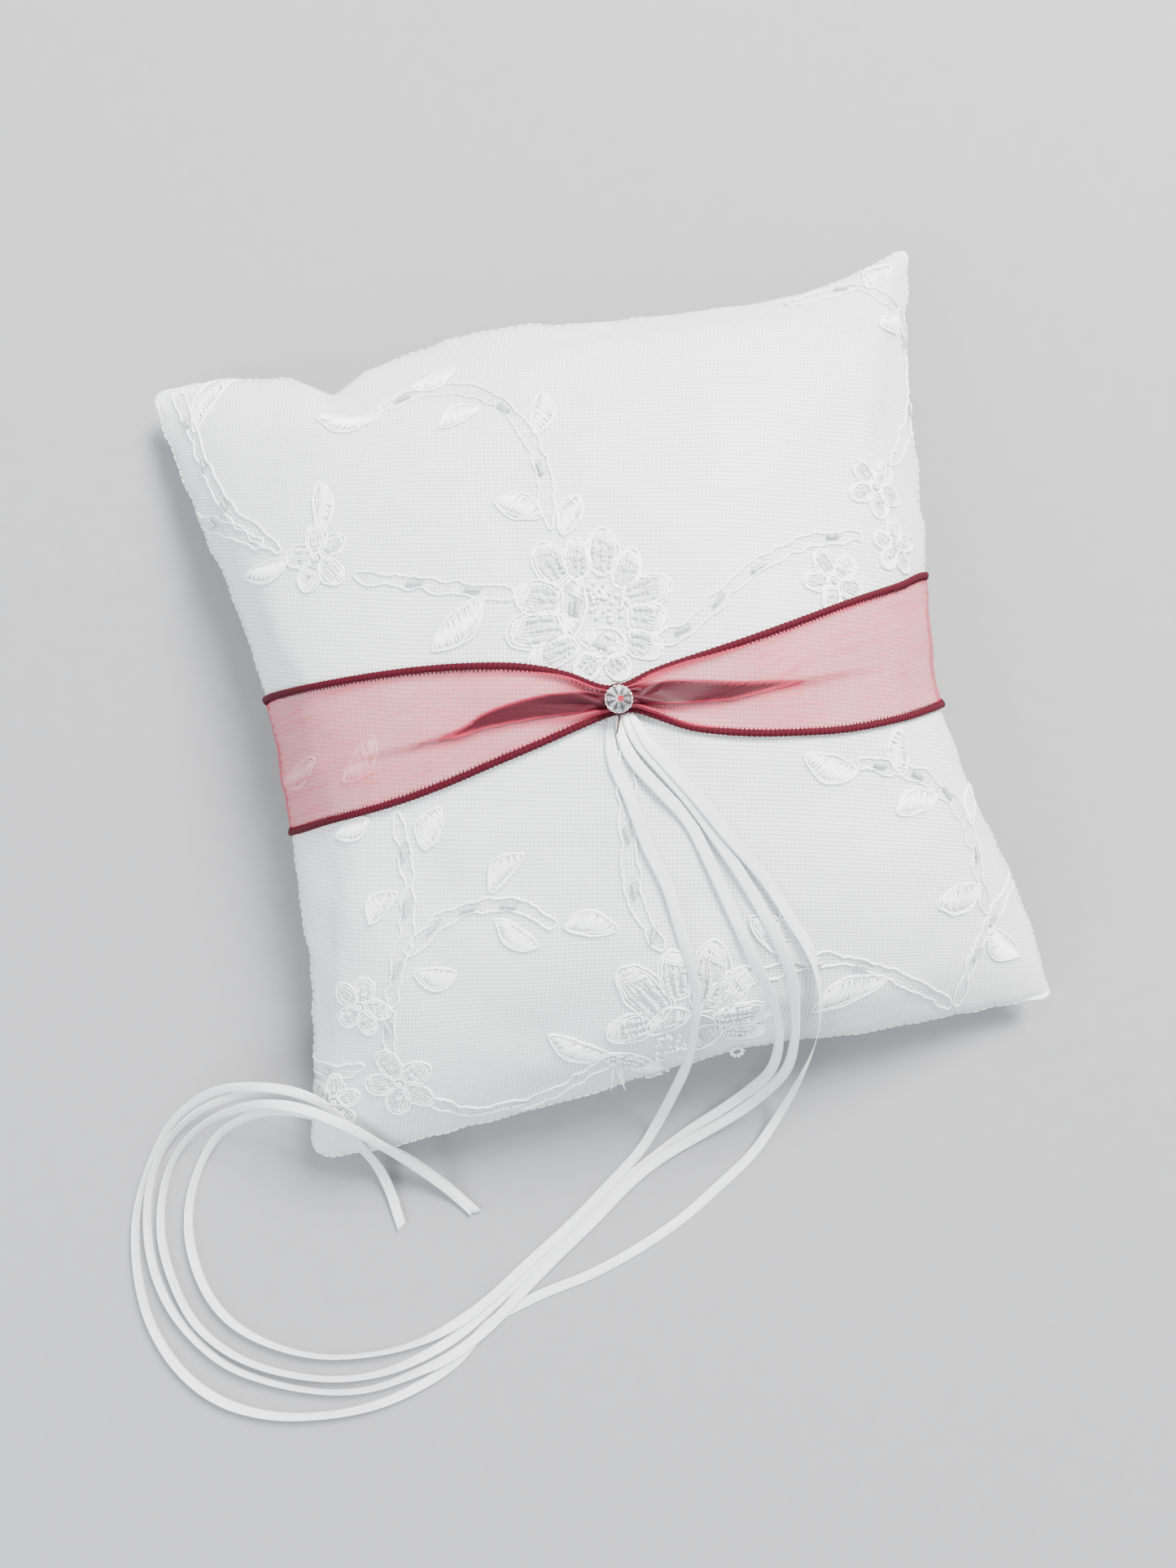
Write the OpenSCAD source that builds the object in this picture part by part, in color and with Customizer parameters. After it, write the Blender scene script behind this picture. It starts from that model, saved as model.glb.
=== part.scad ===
// Ring bearer pillow: stuffed satin square under beaded net lace, with a gathered sash,
// a set crystal in the middle and four narrow ribbon tails. Millimetres, +Z up.
// +X runs along the sash and +Y to the far side. The pillow rests on z = 0.

/* [Pillow] */
// side of the sewn square, seam to seam
pillow_size = 222; // [180:1:270]
// height of the net at the middle, over the table
pillow_height = 68; // [54:1:84]
// height of the seam half-way along each side
seam_height = 26; // [20:1:32]
// height of the seam at the four corners
corner_height = 9; // [5:1:14]
// share by which the two sides under the sash draw in
waist_x = 0.17; // [0.08:0.01:0.22]
// share by which the other two sides draw in
waist_y = 0.085; // [0.04:0.005:0.12]

/* [Fabric] */
// thickness of the net with its ground threads
net_t = 0.4; // [0.3:0.05:0.7]
// thickness of the satin
satin_t = 0.5; // [0.4:0.05:0.8]
// clear gap between two layers
layer_gap = 0.3; // [0.2:0.05:0.35]
// thickness of the seam thread
seam_thread_d = 0.4; // [0.3:0.05:0.5]

/* [Lace] */
// thickness of the outline cord
lace_cord_d = 0.6; // [0.5:0.05:0.7]
// width of a vine across its two cords
vine_w = 3.8; // [3:0.1:5]
// seed bead diameter
seed_d = 1.8; // [1.5:0.1:2.2]
// bugle bead length
bugle_l = 4; // [3:0.5:5]
// bugle bead diameter
bugle_d = 1.1; // [0.9:0.1:1.4]

/* [Sash] */
// width of the sash over its two edge cords
sash_w = 39; // [30:1:52]
// thickness of the organza
sash_t = 0.3; // [0.25:0.05:0.4]
// width of each edge cord
edge_w = 2.4; // [1.8:0.1:3]
// thickness of each edge cord
edge_t = 1.3; // [1:0.1:1.6]
// height of the gathers under the stone
gather_h = 1.8; // [1.2:0.1:2.4]
// gathering thread diameter
gather_thread_d = 0.5; // [0.4:0.05:0.6]

/* [Stone] */
// stone diameter at its girdle
stone_d = 7; // [5:0.1:10]
// height of the stone over its cup
crown_h = 1.7; // [1:0.1:2.6]
// cup wall thickness
cup_t = 0.35; // [0.3:0.05:0.5]

/* [Ribbon tails] */
// ribbon width
ribbon_w = 3; // [2:0.1:5]
// ribbon thickness
ribbon_t = 0.25; // [0.2:0.05:0.3]

/* [Hidden] */

half = pillow_size / 2;
rise = pillow_height - seam_height;
drop = seam_height * 1.3;
// the sash stands this far off the net, over the flat lace and the seam thread
sash_lift = 1;
cord_lift = sash_lift - sash_t / 2 + edge_t / 2;
// the underside is pressed in under the sash, so that both meet the table
groove = cord_lift + edge_t / 2;
groove_y = sash_w / 2 + 3.5;
// the stone stands a little off the middle
stone_x = 1;
stone_y = -4.4;

// sides of the grid the fabric layers share
rows_a = [-90, -81, -72, -60, -48, -36, -24, -12, 0, 12, 24, 36, 48, 60, 72, 81, 90];
rows_b = [-90, -78, -66, -54, -42, -30, -20, -13, -6.5, 0, 6.5, 13, 20, 30, 42, 54, 66, 78, 90];

// ---- the pillow's own surface, by two angles; past 90 it is the underside ----
function rim_z(a, b) = seam_height - (seam_height - corner_height) * pow(sin(a) * sin(b), 2);
function base_z(y) = let (t = min(1, max(0, (abs(y) - groove_y) / 10))) groove * (1 - t * t * (3 - 2 * t));
function skin_x(a, b, d) = (half + d) * sin(a) * (1 - waist_x * pow(cos(b), 2));
function skin_y(a, b, d) = (half + d) * sin(b) * (1 - waist_y * pow(cos(a), 2));
function skin(a, b, d = 0, lift = 0) =
    let (c = cos(a) * cos(b), y = skin_y(a, b, d))
    [skin_x(a, b, d), y,
        c > 0 ? rim_z(a, b) + lift + (rise + d) * c
              : max(base_z(y) - d, rim_z(a, b) + lift + (drop + d) * c)];
function unit(v) = v / norm(v);
function outward(a, b) =
    unit(cross(skin(a + 1, b) - skin(a - 1, b), skin(a, b + 1) - skin(a, b - 1)));
function off_skin(a, b, d) = skin(a, b) + d * outward(a, b);

// angles of the point over plan position x, y
function share(v) = max(-0.999, min(0.999, v));
function plan_uv(x, y, u = 0, v = 0, n = 12) = n == 0 ? [u, v] :
    plan_uv(x, y, share(x / (half * (1 - waist_x * (1 - v * v)))),
        share(y / (half * (1 - waist_y * (1 - u * u)))), n - 1);
function plan_angles(x, y) = let (p = plan_uv(x, y)) [asin(p[0]), asin(p[1])];
// lace is drawn for the size it has here and grows with the pillow; side -1 is the underside
lace_k = half / 111;
function lace_angles(x, y, side) =
    let (q = plan_angles(x * lace_k, y * lace_k)) [side > 0 ? q[0] : 180 - q[0], q[1]];
function on_pillow(x, y, d, side = 1) = let (q = lace_angles(x, y, side)) off_skin(q[0], q[1], d);
function top_z(x, y) = let (q = plan_angles(x, y)) skin(q[0], q[1])[2];

// ---- smooth routes and swept solids ----
function spline(p, i, t) =
    let (n = len(p) - 1, a = p[max(0, i - 1)], b = p[i], c = p[min(n, i + 1)], e = p[min(n, i + 2)])
    0.5 * (2 * b + (c - a) * t + (2 * a - 5 * b + 4 * c - e) * t * t
        + (3 * b - a - 3 * c + e) * t * t * t);
function smooth_route(p, n) =
    concat([for (i = [0 : len(p) - 2]) for (j = [0 : n - 1]) spline(p, i, j / n)], [p[len(p) - 1]]);
function heading(p, i) = unit(p[min(len(p) - 1, i + 1)] - p[max(0, i - 1)]);

// a closed solid through rings of k points each, open at neither end
module swept(rings) {
    k = len(rings[0]);
    n = len(rings);
    polyhedron(
        points = [for (r = rings) for (p = r) p],
        faces = concat(
            [[for (j = [0 : k - 1]) j]],
            [for (i = [0 : n - 2]) for (j = [0 : k - 1])
                [i * k + j, (i + 1) * k + (j + 1) % k, i * k + (j + 1) % k]],
            [for (i = [0 : n - 2]) for (j = [0 : k - 1])
                [i * k + j, (i + 1) * k + j, (i + 1) * k + (j + 1) % k]],
            [[for (j = [k - 1 : -1 : 0]) (n - 1) * k + j]]));
}

// a closed ring of rings
module looped(rings) {
    k = len(rings[0]);
    n = len(rings);
    polyhedron(
        points = [for (r = rings) for (p = r) p],
        faces = concat(
            [for (i = [0 : n - 1]) for (j = [0 : k - 1])
                [i * k + j, i * k + (j + 1) % k, ((i + 1) % n) * k + (j + 1) % k]],
            [for (i = [0 : n - 1]) for (j = [0 : k - 1])
                [i * k + j, ((i + 1) % n) * k + (j + 1) % k, ((i + 1) % n) * k + j]]));
}

// the two triangles of one grid square, split along the line that points at the nearest corner
function halves(i, j, na, nb) = let (p = i * nb + j)
    (i - na / 2 + 1) * (j - nb / 2 + 1) > 0
    ? [[p, p + 1, p + nb + 1], [p, p + nb + 1, p + nb]]
    : [[p, p + 1, p + nb], [p + 1, p + nb + 1, p + nb]];

// a sheet between an upper and a lower grid, na by nb points, closed round its rim
module sheet_solid(upper, lower, na, nb) {
    m = na * nb;
    edge = concat([for (i = [0 : na - 2]) i * nb], [for (j = [0 : nb - 2]) (na - 1) * nb + j],
        [for (i = [na - 1 : -1 : 1]) i * nb + nb - 1], [for (j = [nb - 1 : -1 : 1]) j]);
    e = len(edge);
    polyhedron(
        points = concat(upper, lower),
        faces = concat(
            [for (i = [0 : na - 2]) for (j = [0 : nb - 2]) for (f = halves(i, j, na, nb)) f],
            [for (i = [0 : na - 2]) for (j = [0 : nb - 2]) for (f = halves(i, j, na, nb))
                [m + f[0], m + f[2], m + f[1]]],
            [for (i = [0 : e - 1]) [edge[i], edge[(i + 1) % e], m + edge[(i + 1) % e]]],
            [for (i = [0 : e - 1]) [edge[i], m + edge[(i + 1) % e], m + edge[i]]]));
}

function grid(d, lift, under) =
    [for (a = rows_a) for (b = rows_b) skin(under ? 180 - a : a, b, d, lift)];

module panel(outer_d, t, under) {
    lift = under ? -layer_gap / 2 : layer_gap / 2;
    o = grid(outer_d, lift, under);
    i = grid(outer_d - t, lift, under);
    if (under)
        sheet_solid(i, o, len(rows_a), len(rows_b));
    else
        sheet_solid(o, i, len(rows_a), len(rows_b));
}

module fibre_filling() color("white") {
    d = -net_t - satin_t - 2 * layer_gap;
    sheet_solid(grid(d, 0.35, false), grid(d, 0.15, true), len(rows_a), len(rows_b));
}

module satin_front_panel() color("ivory") panel(-net_t - layer_gap, satin_t, false);

module satin_back_panel() color("ivory") panel(-net_t - layer_gap, satin_t, true);

module net_front() color("white") panel(0, net_t, false);

module net_back() color("white") panel(0, net_t, true);

// the seam runs round all four sides, just outside the panels' rims
side_marks = [-90, -80, -68, -56, -44, -32, -20, -10, 0, 10, 20, 32, 44, 56, 68, 80];
function seam_path() = let (d = seam_thread_d / 2 + 0.12)
    concat([for (t = side_marks) skin(90, t, d)], [for (t = side_marks) skin(-t, 90, d)],
        [for (t = side_marks) skin(-90, -t, d)], [for (t = side_marks) skin(t, -90, d)]);

module edge_seam_thread() color("white") {
    p = seam_path();
    n = len(p);
    looped([for (i = [0 : n - 1])
        let (h = unit(p[(i + 1) % n] - p[(i + n - 1) % n]), s = unit(cross(h, [0, 0, 1])), w = cross(s, h))
        [for (j = [0 : 5]) p[i] + seam_thread_d / 2 * (cos(60 * j) * s + sin(60 * j) * w)]]);
}

// ---- lace ----
lace_low = 0.15;
function low(side) = side > 0 ? lace_low : lace_low + 0.2;
// one cord of the lace along plan points, on the top or the underside
module lace_cord(route, shift, side) {
    p = smooth_route(route, 3);
    n = len(p) - 1;
    r = lace_cord_d / 2;
    swept([for (i = [0 : n])
        let (h = heading(p, i), s = [-h[1], h[0]] * side, c = p[i] + s * (shift + 0.3 * sin(i * 100)),
            m = on_pillow(c[0], c[1], low(side) + r, side),
            f = on_pillow(c[0] + s[0], c[1] + s[1], low(side) + r, side),
            e = unit(f - m),
            q = lace_angles(c[0], c[1], side),
            o = outward(q[0], q[1]))
        [m + e * r, m + o * r, m - e * r, m - o * r]]);
}

module vine(route, side = 1) {
    lace_cord(route, vine_w / 2, side);
    lace_cord(route, -vine_w / 2, side);
}

// a leaf or petal from one plan point to another: flat below and domed above
module blade(from, to, w, blunt = 0.8, side = 1) {
    h = unit(to - from);
    s = [-h[1], h[0]] * side;
    swept([for (i = [0 : 5])
        let (t = 0.02 + 0.96 * i / 5, c = from + (to - from) * t, g = 0.12 + w / 2 * pow(sin(180 * t), blunt))
        [on_pillow(c[0] + g * s[0], c[1] + g * s[1], low(side) + 0.12, side),
            on_pillow(c[0], c[1], low(side) + lace_cord_d, side),
            on_pillow(c[0] - g * s[0], c[1] - g * s[1], low(side) + 0.12, side),
            on_pillow(c[0], c[1], low(side), side)]]);
}

function turned(c, r, a) = c + r * [cos(a), sin(a)];

vines = [
    [[-99, 104], [-97, 92], [-93, 76], [-85, 62], [-77, 53]],
    [[-95, 67], [-89, 62]],
    [[-56, 40], [-46, 36], [-35, 33], [-24, 29]],
    [[-43, 83], [-32, 85], [-18, 81], [-9, 70], [-6, 57], [-7, 44]],
    [[14, 9], [24, 11], [34, 18], [46, 24], [56, 26], [66, 26]],
    [[72, 94], [84, 94], [93, 92]],
    [[90, 60], [87, 52], [84, 45]],
    [[-58, -22], [-59, -36], [-62, -48], [-67, -58]],
    [[-62, -55], [-53, -50], [-43, -47], [-33, -49], [-25, -55]],
    [[-101, -81], [-93, -82]],
    [[-62, -97], [-52, -99], [-38, -98], [-26, -94]],
    [[-1, -24], [-3, -36], [-4, -47], [-4, -58], [-1, -68]],
    [[22, -83], [38, -81], [50, -84], [60, -90]],
    [[60, -32], [72, -36], [82, -44], [85, -52]],
    [[92, -76], [86, -84], [81, -93]],
];

leaves = [
    [[-90, 88], [-82, 99], 7], [[-64, 56], [-62, 66], 5], [[-76, 50], [-86, 50], 5],
    [[-27, 25], [-40, 17], 5], [[-46, 81], [-59, 85], 5], [[-33, 90], [-24, 92], 4],
    [[-28, 72], [-18, 74], 4], [[-2, 64], [-1, 76], 5], [[-19, 50], [-11, 46], 5],
    [[-1, 41], [4, 48], 5], [[95, 98], [101, 102], 5], [[86, 83], [94, 85], 4],
    [[-53, -31], [-47, -22], 6], [[-66, -41], [-73, -48], 5], [[-38, -38], [-31, -43], 5],
    [[-33, -54], [-40, -60], 5], [[-22, -59], [-11, -63], 6], [[-64, -61], [-56, -66], 5],
    [[-22, -92], [-33, -86], 5], [[22, -64], [29, -76], 6], [[31, -66], [37, -78], 6],
    [[56, -95], [38, -90], 5], [[44, -26], [57, -31], 6], [[70, -32], [71, -25], 5],
    [[77, -45], [67, -44], 5], [[89, -52], [91, -43], 4], [[84, -66], [74, -69], 6],
    [[90, -86], [97, -92], 6], [[-62, 0], [-71, -9], 5], [[-77, -2], [-84, -5], 5],
];

// centre, reach and first petal of each five-petalled flower
flowers = [
    [[-66, 46], 8.5, 20], [[79, 37], 8, 50], [[79, 23], 6.5, 10], [[60, 15], 7.5, 35],
    [[-80, -69], 7.5, 60], [[-75, -89], 8.5, 30], [[-95, -93], 6, 75],
];
// the two large flowers, as centre, reach and the directions of their petals
large_one = [[-1, 21], 17, [10, 45, 78, 108, 140, 172, 205, 235, 305, 338]];
large_two = [[4, -85], 15, [-8, 24, 55, 102, 135, 175]];

module vine_cording() color("white")
    for (v = vines) vine(v);

module leaf_embroidery() color("white")
    for (l = leaves) blade(l[0], l[1], l[2]);

module large_flower(f) {
    for (a = f[2]) blade(turned(f[0], f[1] * 0.46, a), turned(f[0], f[1], a), 7, 0.5);
    blade(f[0] + [-5, -4], f[0] + [-3, 6], 5);
    blade(f[0] + [-1, -5], f[0] + [7, -6], 4);
    blade(f[0] + [1, 0], f[0] + [4, 5], 4.5, 0.5);
}

module flower_embroidery() color("white") {
    for (f = flowers) {
        for (i = [0 : 4]) blade(turned(f[0], 2.2, f[2] + 72 * i), turned(f[0], f[1], f[2] + 72 * i), 4, 0.5);
    }
    large_flower(large_one);
    large_flower(large_two);
}

// lace carries on over the edges, so the underside has the ends of the same sprays
back_vines = [
    [[-99, 100], [-88, 86], [-78, 80], [-66, 76]],
    [[92, 92], [80, 84], [76, 72]],
    [[-92, -84], [-80, -78], [-68, -78]],
    [[22, -92], [34, -84], [48, -82], [60, -84]],
    [[88, 44], [80, 52], [70, 56]],
];
back_leaves = [
    [[-80, 88], [-72, 94], 5], [[-84, 72], [-76, 68], 5], [[70, 90], [62, 86], 5],
    [[84, 70], [80, 60], 5], [[-80, -88], [-72, -92], 5], [[48, -90], [56, -94], 5],
    [[66, -78], [74, -84], 5], [[66, 64], [60, 70], 5], [[-88, 56], [-86, 46], 4],
];
back_petals = [-100, -60, -20, 20, 60, 100, 140, 180, 220];

module back_lace() color("white") {
    for (v = back_vines) vine(v, -1);
    for (l = back_leaves) blade(l[0], l[1], l[2], 0.8, -1);
    for (a = back_petals) blade(turned([4, -84], 5, a), turned([4, -84], 11, a), 5, 0.5, -1);
}

// ---- beads ----
bugles = [
    [-98, 96, 100], [-94, 79, 110], [-88, 67, 125], [-40, 34.5, 165], [-10, 71, 125], [-6, 52, 95],
    [24, 11, 25], [40, 21, 30], [61, 26, 0], [86, 94, -5], [-59, -31, 95], [-61.2, -44, 78],
    [-48, -48.5, 15], [-38, -47.4, 0], [-46, -99, 170], [-3, -40, 97], [-3, -62, 78],
    [44, -82, 160], [66, -34, 165], [79, -41, 135],
];

module bugle(x, y, turn) {
    e = 0.5 * bugle_l * [cos(turn), sin(turn)];
    r = bugle_d / 2;
    d = lace_low + r + 0.1;
    a = on_pillow(x - e[0], y - e[1], d);
    b = on_pillow(x + e[0], y + e[1], d);
    h = b - a;
    translate(a)
        rotate([0, acos(h[2] / norm(h)), atan2(h[1], h[0])])
            cylinder(h = norm(h), r = r, $fn = 24);
}

module bugle_beads() color("silver")
    for (b = bugles) bugle(b[0], b[1], b[2]);

module seed(c) {
    q = on_pillow(c[0], c[1], lace_low + lace_cord_d + seed_d / 2 + 0.1);
    translate(q) sphere(d = seed_d, $fn = 24);
}

module seed_beads() color("lightgray") {
    // a cluster of three on the inner end of each large petal
    for (f = [large_one, large_two]) {
        for (a = f[2]) {
            seed(turned(f[0], f[1] * 0.56, a));
            seed(turned(f[0], f[1] * 0.72, a + 5));
            seed(turned(f[0], f[1] * 0.72, a - 5));
        }
    }
    // one in the heart of each small flower
    for (f = flowers) seed(f[0]);
}

// ---- sash, once round the pillow; its ends meet on the underside ----
upper_edge = [[-180, 19.5], [-90, 18.5], [-60, 17], [-33, 14.5], [-16, 10.5], [-7, 6], [-2, 1.6], [0.6, 0.6],
    [3, 0.8], [8, 2], [20, 4.5], [41, 9.5], [62, 13], [90, 16.5], [180, 19.5]];
lower_edge = [[-180, -19.5], [-90, -20.5], [-60, -19.8], [-37, -18.2], [-18, -13.4], [-7, -10.2], [-2, -9],
    [0.6, -8.8], [3, -9.2], [6, -11.5], [12, -16], [26, -21], [44, -23], [90, -21], [180, -19.5]];
// finer steps where the sash is gathered
sash_marks = [-179.7, -165, -150, -135, -120, -108, -99, -90, -81, -74, -67, -61, -55, -49, -43,
    -37, -31, -25, -18, -12, -7.5, -4, -1.5, 0.6, 2.7, 5.2, 8.5, 13, 19, 26, 34, 43, 53, 63, 72,
    81, 90, 99, 108, 120, 135, 150, 165, 179.7];
wide = sash_w / 39;
function edge_y(table, a) = let (y = lookup(a, table), k = min(1, abs(a - 0.6) / 12))
    y * (1 + (wide - 1) * k);
// angle b at which the loop at angle a reaches y
function angle_b(a, y) = asin(share(y / (half * (1 - waist_y * pow(cos(a), 2)))));
// how strongly the sash is gathered at a, 1 under the stone
function gathered(a) = let (x = (a - 0.6) / 11) abs(a) > 90 ? 0 : exp(-x * x);
function bunched(a) = let (x = (a - 0.6) / 5) abs(a) > 90 ? 0 : exp(-x * x);
// the cloth at angle a and share w from -1 to 1 between the two edge cords
function sash_y(a, w) =
    let (hi = edge_y(upper_edge, a) - edge_w - 0.1, lo = edge_y(lower_edge, a) + edge_w + 0.1)
    (hi + lo) / 2 + w * (hi - lo) / 2;
function sash_d(a, w) = sash_lift + 0.75 * bunched(a)
    + gather_h * gathered(a) * (0.5 - 0.5 * cos(540 * (w + 1)));
sash_parts = 12;
function sash_side(d) = [for (a = sash_marks) for (j = [0 : sash_parts])
    let (w = -1 + 2 * j / sash_parts) off_skin(a, angle_b(a, sash_y(a, w)), sash_d(a, w) + d)];

module sash() color("firebrick")
    sheet_solid(sash_side(sash_t / 2), sash_side(-sash_t / 2), len(sash_marks), sash_parts + 1);

module edge_cord(table, side) {
    n = len(sash_marks);
    p = [for (a = sash_marks)
        let (y = edge_y(table, a) - side * edge_w / 2)
        off_skin(a, angle_b(a, y), cord_lift + 0.75 * bunched(a))];
    swept([for (i = [0 : n - 1])
        let (a = sash_marks[i], h = heading(p, i),
            o = outward(a, angle_b(a, p[i][1])), s = unit(cross(h, o)), u = cross(s, h))
        [for (j = [0 : 7])
            p[i] + edge_w / 2 * cos(45 * j) * s - edge_t / 2 * sin(45 * j) * u]]);
}

module sash_upper_cord() color("darkred") edge_cord(upper_edge, 1);

module sash_lower_cord() color("darkred") edge_cord(lower_edge, -1);

// stitches across the joint in the middle of the underside, on the table side of the cloth
module sash_joining_stitches() color("darkred")
    for (i = [-3 : 3])
        translate([-1.6, i * (sash_w / 2 - edge_w - 2) / 3, groove - sash_lift - sash_t / 2 - 0.35])
            rotate([0, 90, 0]) cylinder(h = 3.2, d = 0.4, $fn = 16);

// turns of thread round the gathered cloth, under the stone
thread_top = gather_h + 0.75 + sash_lift + sash_t / 2 + 0.1 + gather_thread_d / 2;
module gathering_thread() color("darkred")
    for (k = [-1 : 1]) {
        x = stone_x + k * 0.7;
        z0 = top_z(stone_x, stone_y) + 0.3 + gather_thread_d / 2;
        z1 = top_z(stone_x, stone_y) + thread_top;
        m = (edge_y(upper_edge, 0.6) + edge_y(lower_edge, 0.6)) / 2;
        g = (edge_y(upper_edge, 0.6) - edge_y(lower_edge, 0.6)) / 2 + 0.38;
        looped([for (i = [0 : 23])
            let (t = 15 * i, c = cos(t), s = sin(t), r = gather_thread_d / 2,
                cy = sign(c) * pow(abs(c), 0.6), cz = sign(s) * pow(abs(s), 0.6),
                n = unit([0, c, s * 1.6]))
            [for (j = [0 : 5])
                [x, m + g * cy, (z0 + z1) / 2 + (z1 - z0) / 2 * cz]
                    + r * (cos(60 * j) * n + sin(60 * j) * [1, 0, 0])]]);
    }

// ---- stone and its cup ----
seat_z = top_z(stone_x, stone_y) + thread_top + gather_thread_d / 2 + 0.1;
cup_h = 1.9;
module at_stone() translate([stone_x, stone_y, seat_z]) children();

module stone_cup() color("silver")
    at_stone() rotate_extrude($fn = 72) polygon([
        [0, 0], [stone_d * 0.22, 0], [stone_d / 2 + cup_t, cup_h - 0.5], [stone_d / 2 + cup_t, cup_h + 0.3],
        [stone_d / 2 + 0.06, cup_h + 0.3], [stone_d / 2 + 0.06, cup_h - 0.4],
        [stone_d * 0.18, cup_t], [0, cup_t]]);

// a girdle with a faceted pavilion below and two rows of facets and a table above
module crystal_stone() color("lightcyan")
    at_stone() translate([0, 0, cup_t + 0.1]) {
        cylinder(h = cup_h - cup_t - 0.3, d1 = stone_d * 0.3, d2 = stone_d, $fn = 12);
        translate([0, 0, cup_h - cup_t - 0.3]) cylinder(h = 0.4, d = stone_d, $fn = 12);
        translate([0, 0, cup_h - cup_t + 0.1])
            cylinder(h = crown_h * 0.6, d1 = stone_d, d2 = stone_d * 0.74, $fn = 12);
        translate([0, 0, cup_h - cup_t + 0.1 + crown_h * 0.6])
            cylinder(h = crown_h * 0.4, d1 = stone_d * 0.74, d2 = stone_d * 0.42, $fn = 12);
    }

// ---- ribbon tails ----
// each point is x, y, height, roll, and 1 where the height is over the pillow, 0 over the table
tail_1 = [[-2, -9.8, 0.35, 0, 1], [-3, -14, 0.4, 0, 1], [-3, -20, 0.6, 0, 1], [-1, -27, 1, 0, 1],
    [1, -40, 1, 0, 1], [4, -51, 1, 0, 1], [5, -61, 1.1, 0, 1], [6, -72, 1.4, 0, 1], [6, -82, 2, 0, 1],
    [4, -91, 3.4, 5, 1], [2, -99, 39, 10, 0], [-1, -107, 27, 10, 0], [-5, -116, 14, 10, 0],
    [-10, -125, 4, 5, 0], [-17, -133, 1.3, 0, 0], [-28, -141, 1.3, 0, 0], [-41, -150, 1.3, 0, 0],
    [-56, -159, 1.3, 0, 0], [-69, -167, 1.3, 0, 0], [-80, -172, 1.5, 30, 0], [-91, -175, 1.8, 70, 0],
    [-104, -176, 1.8, 88, 0], [-120, -174, 1.8, 90, 0], [-134, -168, 1.8, 85, 0], [-145, -159, 1.8, 70, 0],
    [-151, -148, 1.7, 60, 0], [-153, -134, 1.6, 50, 0], [-151, -122, 1.6, 50, 0], [-146, -112, 2, 50, 0],
    [-138, -103, 5, 40, 0], [-128, -98, 12, 30, 0], [-117, -95, 20, 15, 0], [-106, -96, 25, 0, 0],
    [-95, -101, 26.6, 0, 0], [-88, -109, 21.6, 0, 0], [-83, -118, 11, 0, 0], [-75, -131, 2, 0, 0],
    [-68, -141, 0.9, 0, 0]];
tail_2 = [[0, -9.8, 0.7, 0, 1], [0, -14, 0.8, 0, 1], [2, -20, 1.2, 0, 1], [7, -28, 1.2, 0, 1],
    [12, -36, 0.9, 0, 1], [15, -46, 0.9, 0, 1], [18, -58, 1, 0, 1], [21, -70, 1.5, 0, 1],
    [24, -81, 1.9, 0, 1], [26, -91, 3.2, 5, 1], [26, -100, 39, 10, 0], [24, -111, 23, 10, 0],
    [18, -119, 10, 10, 0], [9, -125, 3.5, 5, 0], [-2, -130, 1.3, 0, 0], [-14, -136, 0.9, 0, 0],
    [-27, -143, 0.9, 0, 0], [-41, -153, 0.9, 0, 0], [-55, -161, 0.9, 0, 0], [-70, -170, 0.9, 0, 0],
    [-81, -176, 1, 20, 0], [-93, -180, 1.4, 50, 0], [-105, -182, 1.6, 75, 0], [-119, -181, 1.6, 85, 0],
    [-134, -176, 1.6, 85, 0], [-147, -168, 1.6, 80, 0], [-156, -157, 1.6, 70, 0], [-160, -144, 1.6, 65, 0],
    [-161, -130, 1.6, 60, 0], [-158, -117, 1.6, 60, 0], [-152, -107, 3, 60, 0], [-142, -99, 7, 50, 0],
    [-130, -94.5, 14, 30, 0], [-117, -92.5, 22, 15, 0], [-105, -95, 26.4, 0, 0], [-95, -101, 27.8, 0, 0],
    [-87, -110, 22.6, 0, 0], [-80, -123, 8.6, 0, 0], [-73, -134, 2.2, 0, 0], [-69, -140, 1.3, 0, 0]];
tail_3 = [[2, -9.8, 1.05, 0, 1], [3, -14, 1.2, 0, 1], [7, -21, 1.6, 0, 1], [13, -31, 1.5, 0, 1],
    [19, -44, 1, 0, 1], [24, -56, 1, 0, 1], [28, -68, 1.4, 0, 1], [31, -80, 1.9, 0, 1],
    [31, -91, 3.2, 5, 1], [30, -100, 40, 10, 0], [28, -110, 28, 10, 0], [23, -118, 16, 10, 0],
    [15, -125, 7, 5, 0], [5, -130, 3, 0, 0], [-9, -135, 1.9, 0, 0], [-21, -141, 1.9, 0, 0],
    [-34, -150, 1.9, 0, 0], [-48, -159, 1.9, 0, 0], [-61, -168, 1.7, 0, 0], [-71, -175, 1.6, 10, 0],
    [-83, -181, 1.6, 30, 0], [-95, -184, 1.6, 60, 0], [-109, -186, 1.6, 80, 0], [-123, -184, 1.6, 88, 0],
    [-138, -178, 1.6, 85, 0], [-150, -170, 1.8, 80, 0], [-159, -158, 1.8, 70, 0], [-164, -145, 1.8, 65, 0],
    [-165, -131, 1.7, 60, 0], [-162, -116, 1.8, 60, 0], [-155, -104, 3, 60, 0], [-143, -95, 7, 45, 0],
    [-129, -91, 12, 25, 0], [-116, -90.5, 18.4, 10, 0], [-105, -93, 22.8, 0, 0], [-97, -100, 23.8, 0, 0],
    [-95, -105, 21.8, 0, 0], [-94, -111, 15.6, 0, 0], [-93, -121, 4.4, 0, 0], [-92, -128, 1.4, 0, 0],
    [-91, -134, 0.6, 0, 0]];
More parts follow.
